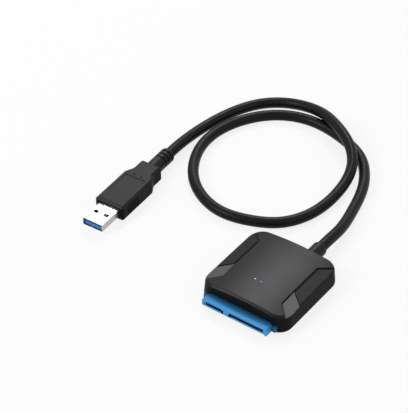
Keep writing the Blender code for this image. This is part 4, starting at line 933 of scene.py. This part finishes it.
# %% Copies along the slots
def repeat_on_points(name, points, shape, finish):
    """A mesh with a copy of the shape on each point, made by a node tree with named inputs."""
    tree = bpy.data.node_groups.new(f"{name} row", "GeometryNodeTree")
    face = tree.interface
    face.new_socket(name="Points", in_out="INPUT", socket_type="NodeSocketGeometry")
    face.new_socket(name="Shape", in_out="INPUT", socket_type="NodeSocketObject")
    face.new_socket(name="Finish", in_out="INPUT", socket_type="NodeSocketMaterial")
    face.new_socket(name="Row", in_out="OUTPUT", socket_type="NodeSocketGeometry")
    start = tree.nodes.new("NodeGroupInput")
    one = add_node(tree, "GeometryNodeObjectInfo", inputs={"Object": start.outputs["Shape"]})
    placing = {"Points": start.outputs["Points"], "Instance": one.outputs["Geometry"]}
    copies = add_node(tree, "GeometryNodeInstanceOnPoints", inputs=placing)
    made = {"Geometry": copies.outputs["Instances"]}
    real = add_node(tree, "GeometryNodeRealizeInstances", inputs=made)
    dressing = {"Geometry": real.outputs["Geometry"], "Material": start.outputs["Finish"]}
    dressed = add_node(tree, "GeometryNodeSetMaterial", inputs=dressing)
    add_node(tree, "NodeGroupOutput", inputs={"Row": dressed.outputs["Geometry"]})
    seed_mesh = bpy.data.meshes.new(f"{name}_points")
    seed_mesh.from_pydata([tuple(p) for p in points], [], [])
    maker = bpy.data.objects.new(f"{name}_points", seed_mesh)
    model = bpy.data.objects.new(f"{name}_shape", shape)
    scene.collection.objects.link(maker)
    scene.collection.objects.link(model)
    modifier = maker.modifiers.new("row", "NODES")
    modifier.node_group = tree
    sockets = {s.name: s.identifier for s in face.items_tree if s.in_out == "INPUT"}
    modifier[sockets["Shape"]] = model
    modifier[sockets["Finish"]] = finish
    bpy.context.view_layer.update()
    depsgraph = bpy.context.evaluated_depsgraph_get()
    mesh = bpy.data.meshes.new_from_object(maker.evaluated_get(depsgraph), depsgraph=depsgraph)
    mesh.name = name
    for helper in (maker, model):
        bpy.data.objects.remove(helper)
    return mesh


boxes = [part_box(name) for name in CONTACTS]
middles = [(Vector(low) + Vector(high)) / 2 for low, high in boxes]
row_mesh = repeat_on_points("sata_contacts", middles, spring_mesh(*boxes[0]), GOLD)
add_piece(row_mesh, [GOLD], CONTACTS)
print("contacts:", len(CONTACTS), "faces:", len(row_mesh.polygons))

# %% [markdown]
# ## The boot and the plug's moulding
# Both are soft black PVC. The boot is a plain turned sleeve with a rounded shoulder. The plug's
# moulding is a flat grip with a bevelled top, a sunk field, two small pin marks and five upright
# grooves on each side, and it ends in a ringed strain relief. We turn the round parts on a lathe
# with softened corners, and lay the flat part's top over its plan, as we did for the case's roof.


# %% Lathe
def softened(points, soft, steps=5):
    """A line of points with each inner corner drawn as a small curve, starting this far from it."""
    line = [np.array(p, float) for p in points]
    found = [line[0]]
    for before, corner, after in zip(line, line[1:], line[2:]):
        ends = []
        for other in (before, after):
            run = np.linalg.norm(other - corner)
            ends.append(corner + (other - corner) * min(0.5, soft / run))
        for t in np.linspace(0.0, 1.0, steps + 1):
            found.append((1 - t) ** 2 * ends[0] + 2 * t * (1 - t) * corner + t * t * ends[1])
    return [*found, line[-1]]


def lathe(profile, sides, axis="Y"):
    """Vertices and faces of a closed body turned round an axis from (radius, distance) points."""
    vertices, rings = [], []
    for radius, along in profile:
        start = len(vertices)
        around = sides if radius > 1e-6 else 1
        for i in range(around):
            turn = 2 * math.pi * i / sides
            across, up = radius * math.sin(turn), radius * math.cos(turn)
            vertices.append((across, along, up) if axis == "Y" else (up, across, along))
        rings.append(range(start, start + around))
    faces = []
    for near, far in zip(rings, rings[1:]):
        for i in range(sides):
            j = (i + 1) % sides
            face = (near[i % len(near)], near[j % len(near)], far[j % len(far)], far[i % len(far)])
            faces.append(tuple(dict.fromkeys(face)))
    return vertices, faces


def crisp_mesh(name, vertices, faces, sharp=38):
    """A smooth-shaded mesh with its edges sharp where they turn by more than this angle."""
    mesh = mesh_from(name, vertices, faces)
    face_outwards(mesh)
    mesh.set_sharp_from_angle(angle=math.radians(sharp))
    return mesh


def moved(vertices, matrix):
    """Vertices in millimetres, placed by a matrix in metres."""
    return [matrix @ (Vector(v) * MM) for v in vertices]


# %% Boot
ROUND_SIDES = 56
CABLE_SEAT = CABLE_DIAMETER / 2 / MM + 0.03
boot_end = BOOT_END_Y / MM
boot_profile = [(0.0, boot_end + 0.32), (CABLE_SEAT, boot_end + 0.32)]
boot_profile += [(CABLE_SEAT, boot_end - 0.02)]
boot_profile += [(3.1, boot_end), (3.62, boot_end - 0.35), (3.8, boot_end - 1.1)]
boot_profile += [(3.8, 25.4), (3.2, 25.3), (3.2, 23.6), (0.0, 23.6)]
boot_place = Matrix.Translation((BOOT_X, 0.0, BOOT_HEIGHT))
vertices, faces = lathe(softened(boot_profile, 0.22), ROUND_SIDES)
boot_mesh = crisp_mesh("boot_sleeve", moved(vertices, boot_place), faces)
add_piece(boot_mesh, [PVC], ["cable_boot"])
print("boot:", len(vertices), "vertices")

# %% Plan of the plug's moulding, in the plug's frame
GRIP_HALF, GRIP_HALF_WIDTH, BODY_END = 4.45, 8.45, 26.2
NECK_HALF_WIDTH, TAPER_END, NECK_END = 6.05, 30.8, 38.4
BEVEL, BEVEL_DROP, BEVEL_RINGS = 1.2, 1.0, (0.3, 0.6, 0.9, 1.08, 1.2, 1.32, 1.5)
BEVEL_TURN, PLAN_ROUND = 0.12, 1.1
FIELD_X, FIELD_FRONT, FIELD_REAR, FIELD_DEPTH = 6.1, 5.0, 23.9, 0.30
MARKS, MARK_RADIUS, MARK_DEPTH, MARK_LIP = ((-2.35, 25.8), (2.35, 25.8)), 0.52, 0.60, 0.16
GROOVES, GROOVE_FIRST, GROOVE_PITCH = 5, 4.8, 2.0
GRIP_GROOVE_HALF, GRIP_GROOVE_FLOOR, GRIP_GROOVE_DEPTH = 0.4, 0.26, 0.5
GRIP_SPAN, GRIP_SPACING = (3.9, 14.1), 0.1

half_plan = [
    (0.0, 0.0),
    (GRIP_HALF_WIDTH, 0.0),
    (GRIP_HALF_WIDTH, BODY_END),
    (NECK_HALF_WIDTH, TAPER_END),
    (NECK_HALF_WIDTH, NECK_END),
    (0.0, NECK_END),
]
right_side = [tuple(p) for p in softened(half_plan, PLAN_ROUND)][1:-1]
ring = right_side + [(-x, y) for x, y in right_side[::-1]]


def grip_outline():
    """The plan's ring, with close points along the grooves."""
    found = []
    marks = np.arange(*GRIP_SPAN, GRIP_SPACING)
    for near, far in zip(ring, [*ring[1:], ring[0]]):
        steps = [near, far]
        upright = abs(near[0] - far[0]) < 1e-6 and abs(near[1] - far[1]) > 5
        if upright and max(near[1], far[1]) < BODY_END + 1:
            ordered = marks if far[1] > near[1] else marks[::-1]
            steps = [near, *((near[0], float(y)) for y in ordered), far]
        found += resampled(steps, RING_SPACING)[:-1]
    return found


def ring_distance(x, y):
    """How far points lie inside the plan's ring, below zero outside it."""
    best = np.full(np.broadcast(x, y).shape, 1e9)
    inside = np.zeros(best.shape, bool)
    for (ax, ay), (bx, by) in zip(ring, [*ring[1:], ring[0]]):
        dx, dy = bx - ax, by - ay
        t = np.clip(((x - ax) * dx + (y - ay) * dy) / max(dx * dx + dy * dy, 1e-9), 0, 1)
        best = np.minimum(best, np.hypot(x - ax - t * dx, y - ay - t * dy))
        if dy:
            inside ^= ((ay > y) != (by > y)) & (x < ax + dx * (y - ay) / dy)
    return np.where(inside, best, -best)


def offset_ring(inset):
    """The plan's ring moved inwards."""
    points = np.array(ring)
    ahead = np.roll(points, -1, axis=0) - np.roll(points, 1, axis=0)
    ahead /= np.linalg.norm(ahead, axis=1)[:, None]
    inner = points + np.column_stack([-ahead[:, 1], ahead[:, 0]]) * inset
    return [tuple(p) for p in (*inner, inner[0])]


def moulding_height(x, y):
    """Height of the moulding's top over its plan, in millimetres."""
    top = GRIP_HALF - hinge(BEVEL - ring_distance(x, y), BEVEL_TURN) * BEVEL_DROP / BEVEL
    inside = np.minimum(np.minimum(FIELD_X - np.abs(x), y - FIELD_FRONT), FIELD_REAR - y)
    ramp = FIELD_DEPTH * (y - FIELD_FRONT) / (FIELD_REAR - FIELD_FRONT)
    top = top - ramp * smooth_step(0.0, LIP, inside)
    for middle in MARKS:
        reach = np.hypot(x - middle[0], y - middle[1])
        top = top - MARK_DEPTH * (1 - smooth_step(MARK_RADIUS - MARK_LIP, MARK_RADIUS, reach))
    return top


# %% Moulding
field_lines = []
for step in lip_steps:
    x, front, rear = FIELD_X - step, FIELD_FRONT + step, FIELD_REAR - step
    corners = [(-x, front), (x, front), (x, rear), (-x, rear), (-x, front)]
    field_lines.append(resampled(corners, LINE_SPACING))
lines = [resampled(offset_ring(inset), RING_SPACING) for inset in BEVEL_RINGS]
lines += field_lines
for middle in MARKS:
    lines += [circle(middle, MARK_RADIUS - MARK_LIP * i / 4, 20) for i in range(5)]
top_points, top_faces, _ = plan_mesh(
    grip_outline(), lines, GRID_SPACING, moulding_height, lambda x, y: ring_distance(x, y) > 1e-5
)
rim_loop = boundary_loops(top_faces)[0]
rim = top_points[rim_loop][:, :2]
ahead = np.roll(rim, -1, axis=0) - np.roll(rim, 1, axis=0)
outward = np.column_stack([ahead[:, 1], -ahead[:, 0]])
outward /= np.linalg.norm(outward, axis=1)[:, None]
groove = np.zeros(len(rim))
for i in range(GROOVES):
    off = rim[:, 1] - GROOVE_FIRST - i * GROOVE_PITCH
    near = smooth_step(-GRIP_GROOVE_HALF, -GRIP_GROOVE_FLOOR, off)
    groove += near * (1 - smooth_step(GRIP_GROOVE_FLOOR, GRIP_GROOVE_HALF, off))
groove *= GRIP_GROOVE_DEPTH * (np.abs(rim[:, 0]) > GRIP_HALF_WIDTH - 0.01)
wall_top = GRIP_HALF - BEVEL_DROP
side_rows = [
    (wall_top - 0.08, 0.0, 0.0),
    (wall_top - 0.14, 0.0, 0.0),
    (wall_top - 0.26, 0.0, 1.0),
    (-wall_top, 0.0, 1.0),
    (-wall_top - 0.5, 0.5, 1.0),
    (-GRIP_HALF, 1.0, 0.0),
]
vertices = [tuple(p) for p in top_points]
faces = [tuple(f) for f in top_faces]
previous = list(rim_loop)
for z, inset, share in side_rows:
    depth = np.maximum(inset, groove * share)
    row = rim - outward * depth[:, None]
    numbers = list(range(len(vertices), len(vertices) + len(row)))
    vertices += [(x, y, z) for x, y in row]
    for i in range(len(row)):
        j = (i + 1) % len(row)
        faces.append((previous[j], previous[i], numbers[i], numbers[j]))
    previous = numbers
faces.append(tuple(previous))
wall_faces = range(len(top_faces), len(faces))

RELIEF_WIDE, RELIEF_NARROW, RELIEF_RINGS = 4.1, 3.3, (51.0, 48.2, 45.4)
relief_profile = [(0.0, 53.92), (CABLE_SEAT, 53.92), (CABLE_SEAT, 53.58)]
relief_profile += [(3.4, 53.6), (3.9, 53.1), (RELIEF_WIDE, 52.3)]
for middle in RELIEF_RINGS:
    relief_profile += [(RELIEF_WIDE, middle + 0.4), (RELIEF_NARROW, middle + 0.22)]
    relief_profile += [(RELIEF_NARROW, middle - 0.22), (RELIEF_WIDE, middle - 0.4)]
relief_profile += [(RELIEF_WIDE, 34.6), (0.0, 34.6)]
relief_vertices, relief_faces = lathe(softened(relief_profile, 0.16, 4), ROUND_SIDES)
start = len(vertices)
vertices += relief_vertices
faces += [tuple(start + i for i in face) for face in relief_faces]
moulding_mesh = crisp_mesh("plug_moulding", moved(vertices, plug_frame), faces, 30)
# The moulding's side walls take the PVC copy with painted shade.
moulding = add_piece(moulding_mesh, [PVC, PVC_WALL_PAINTED_SHADE], ["usb_overmold"])
for i in wall_faces:
    moulding_mesh.polygons[i].material_index = 1
print("moulding:", len(moulding_mesh.vertices), "vertices")

# %% [markdown]
# ## The plug's shell and tongue
# The shell is thin steel, folded round and nickel-plated, so its edges are only just broken.
# Inside, hardly any light reaches the steel, so the inner faces get a dark copy of its finish, and
# the sides a darker copy: painted shade on both. The blue tongue fills the lower half of the mouth.

# %% Shell and tongue
steels = [STEEL, STEEL_INSIDE_PAINTED_SHADE, STEEL_SIDE_PAINTED_SHADE]
shell = rounded_copy("usb_shell", "plug_shell", 0.05 * MM, steels)
to_plug = plug_frame.inverted()
turn_to_plug = to_plug.to_3x3()
SIDE_LEAN, EDGE_ON = 0.75, 0.5
shell_shade_counts = [0, 0, 0]
# Inner faces take the dark steel copy and sideways faces the darker side copy, both with painted
# shade.
for polygon in shell.data.polygons:
    x, _, z = (to_plug @ polygon.center) / MM
    side, along, up = turn_to_plug @ polygon.normal
    if abs(along) < EDGE_ON and side * x + up * z < 0:
        polygon.material_index = 1
    elif abs(side) > SIDE_LEAN:
        polygon.material_index = 2
    shell_shade_counts[polygon.material_index] += 1
tongue = rounded_copy("usb_insulator", "plug_tongue", 0.06 * MM, [TONGUE])
print("shell faces outside, inside and at the sides:", shell_shade_counts)

# %% [markdown]
# ## The two lights
# Two clear pins carry the light of a red and a blue lamp up to the roof. Lit, each shows a pale
# middle and a coloured rim. We turn a small domed pin and let its finish go from pale to colour
# with the distance from its axis, so it reads as a lit lens and not as paint.


# %% Lenses
LENS_GRAIN = 0.0002
LENS_WANDER = 0.0001
LENS_GLOSS = (0.12, 0.24)
PALE_REACH = 0.75
GLOW = 0.55


def make_glow(name, place, middle, rim):
    """A lit lens finish: pale at the axis through this place, and coloured towards its rim."""
    material = bpy.data.materials.new(name)
    tree = new_tree(material)
    coords = add_node(tree, "ShaderNodeTexCoord").outputs["Object"]
    ends = {0: coords, 1: tuple(v * MM for v in place)}
    away = add_node(tree, "ShaderNodeVectorMath", {"operation": "DISTANCE"}, ends)
    grain = noise(tree, coords, LENS_GRAIN)
    uneven = calculated(tree, "MULTIPLY_ADD", grain, LENS_WANDER, away.outputs["Value"])
    share = ranged(tree, uneven, 0.0, PALE_REACH * LIGHT_RADIUS * MM)
    colour = mixed(tree, share, linear(middle), linear(rim))
    look = {
        "Base Color": colour,
        "Roughness": ranged(tree, grain, 0.0, 1.0, *LENS_GLOSS),
        "Emission Color": colour,
        "Emission Strength": GLOW,
    }
    shader = add_node(tree, "ShaderNodeBsdfPrincipled", inputs=look)
    add_node(tree, "ShaderNodeOutputMaterial", inputs={"Surface": shader.outputs["BSDF"]})
    return material


LENS_SHADES = {"red": ("#f3a59b", "#a8221d"), "blue": ("#a9b4f2", "#1d2eb4")}
for colour, (x, y) in LIGHTS.items():
    top = float(roof_height(x, y))
    profile = [(0.0, top + 0.10), (0.25, top + 0.08), (0.45, top + 0.03), (0.57, top - 0.06)]
    profile += [(0.59, top - 0.3), (0.59, top - 2.0), (0.0, top - 2.0)]
    vertices, faces = lathe(softened(profile, 0.05, 3), 28, "Z")
    place = Matrix.Translation((x * MM, y * MM, 0.0))
    middle, rim_shade = LENS_SHADES[colour]
    glow = make_glow(f"lit {colour} lens", (x, y, top), middle, rim_shade)
    mesh = crisp_mesh(f"{colour}_lens", moved(vertices, place), faces)
    add_piece(mesh, [glow], [f"light_pipe_{colour}"])
print("lenses:", list(LIGHTS))

# %% [markdown]
# ## The CAD's own pieces
# The board, its parts and the wires inside the case keep their CAD shapes, and the rest of the
# contacts do too. Each only needs a finish that fits what it is: green solder mask, black epoxy,
# tinned can, grey ferrite, tan ceramic, gold contacts and coloured wire insulation. A node that a
# finished piece stands for is never seen, so what it wears doesn't matter.

# %% Finishes for the CAD's pieces
BOARD = make_finish("green solder mask", ("#14502f", "#1c6a3e"), (0.25, 0.40), 0.6, 6)
CHIP = make_finish("epoxy chip", ("#1b1b1d", "#242426"), (0.45, 0.6), 0.2, 4)
TIN = make_finish("tinned can", ("#c9c9cb", "#d8d8da"), (0.2, 0.35), 0.2, 2, metallic=1.0)
FERRITE = make_finish("grey ferrite", ("#3a3a3d", "#4a4a4d"), (0.6, 0.75), 0.2, 10)
CERAMIC = make_finish("tan ceramic", ("#a27a4c", "#b88c5a"), (0.35, 0.5), 0.2, 3)
RED_LAMP = make_finish("red lamp resin", ("#c23a36", "#d8504a"), (0.2, 0.3), 0.3, 1)
BLUE_LAMP = make_finish("blue lamp resin", ("#3c62c8", "#5078dc"), (0.2, 0.3), 0.3, 1)
WIRES = {
    "red": ("#b02a25", "#bd3630"),
    "white": ("#dcdcd8", "#e8e8e4"),
    "green": ("#2a8a44", "#34974f"),
    "black": ("#1c1c1e", "#262628"),
    "blue": ("#2552b0", "#2f60c0"),
    "yellow": ("#d6b832", "#e2c644"),
    "violet": ("#6c3f92", "#7c4ea2"),
    "orange": ("#d8701f", "#e67e2e"),
}
NODE_FINISH = {
    "circuit_board": BOARD,
    "bridge_chip": CHIP,
    "firmware_chip": CHIP,
    "crystal": TIN,
    "power_inductor": FERRITE,
    "led_red": RED_LAMP,
    "led_blue": BLUE_LAMP,
}
for i in (1, 2, 3):
    NODE_FINISH[f"capacitor_{i}"] = CERAMIC
for colour, shades in WIRES.items():
    name = f"{colour} wire insulation"
    NODE_FINISH[f"wire_{colour}"] = make_finish(name, shades, (0.35, 0.5), 0.2, 2)
for name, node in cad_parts.items():
    node.data.materials.clear()
    node.data.materials.append(NODE_FINISH.get(name, GOLD))
print("finished nodes:", len(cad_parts))
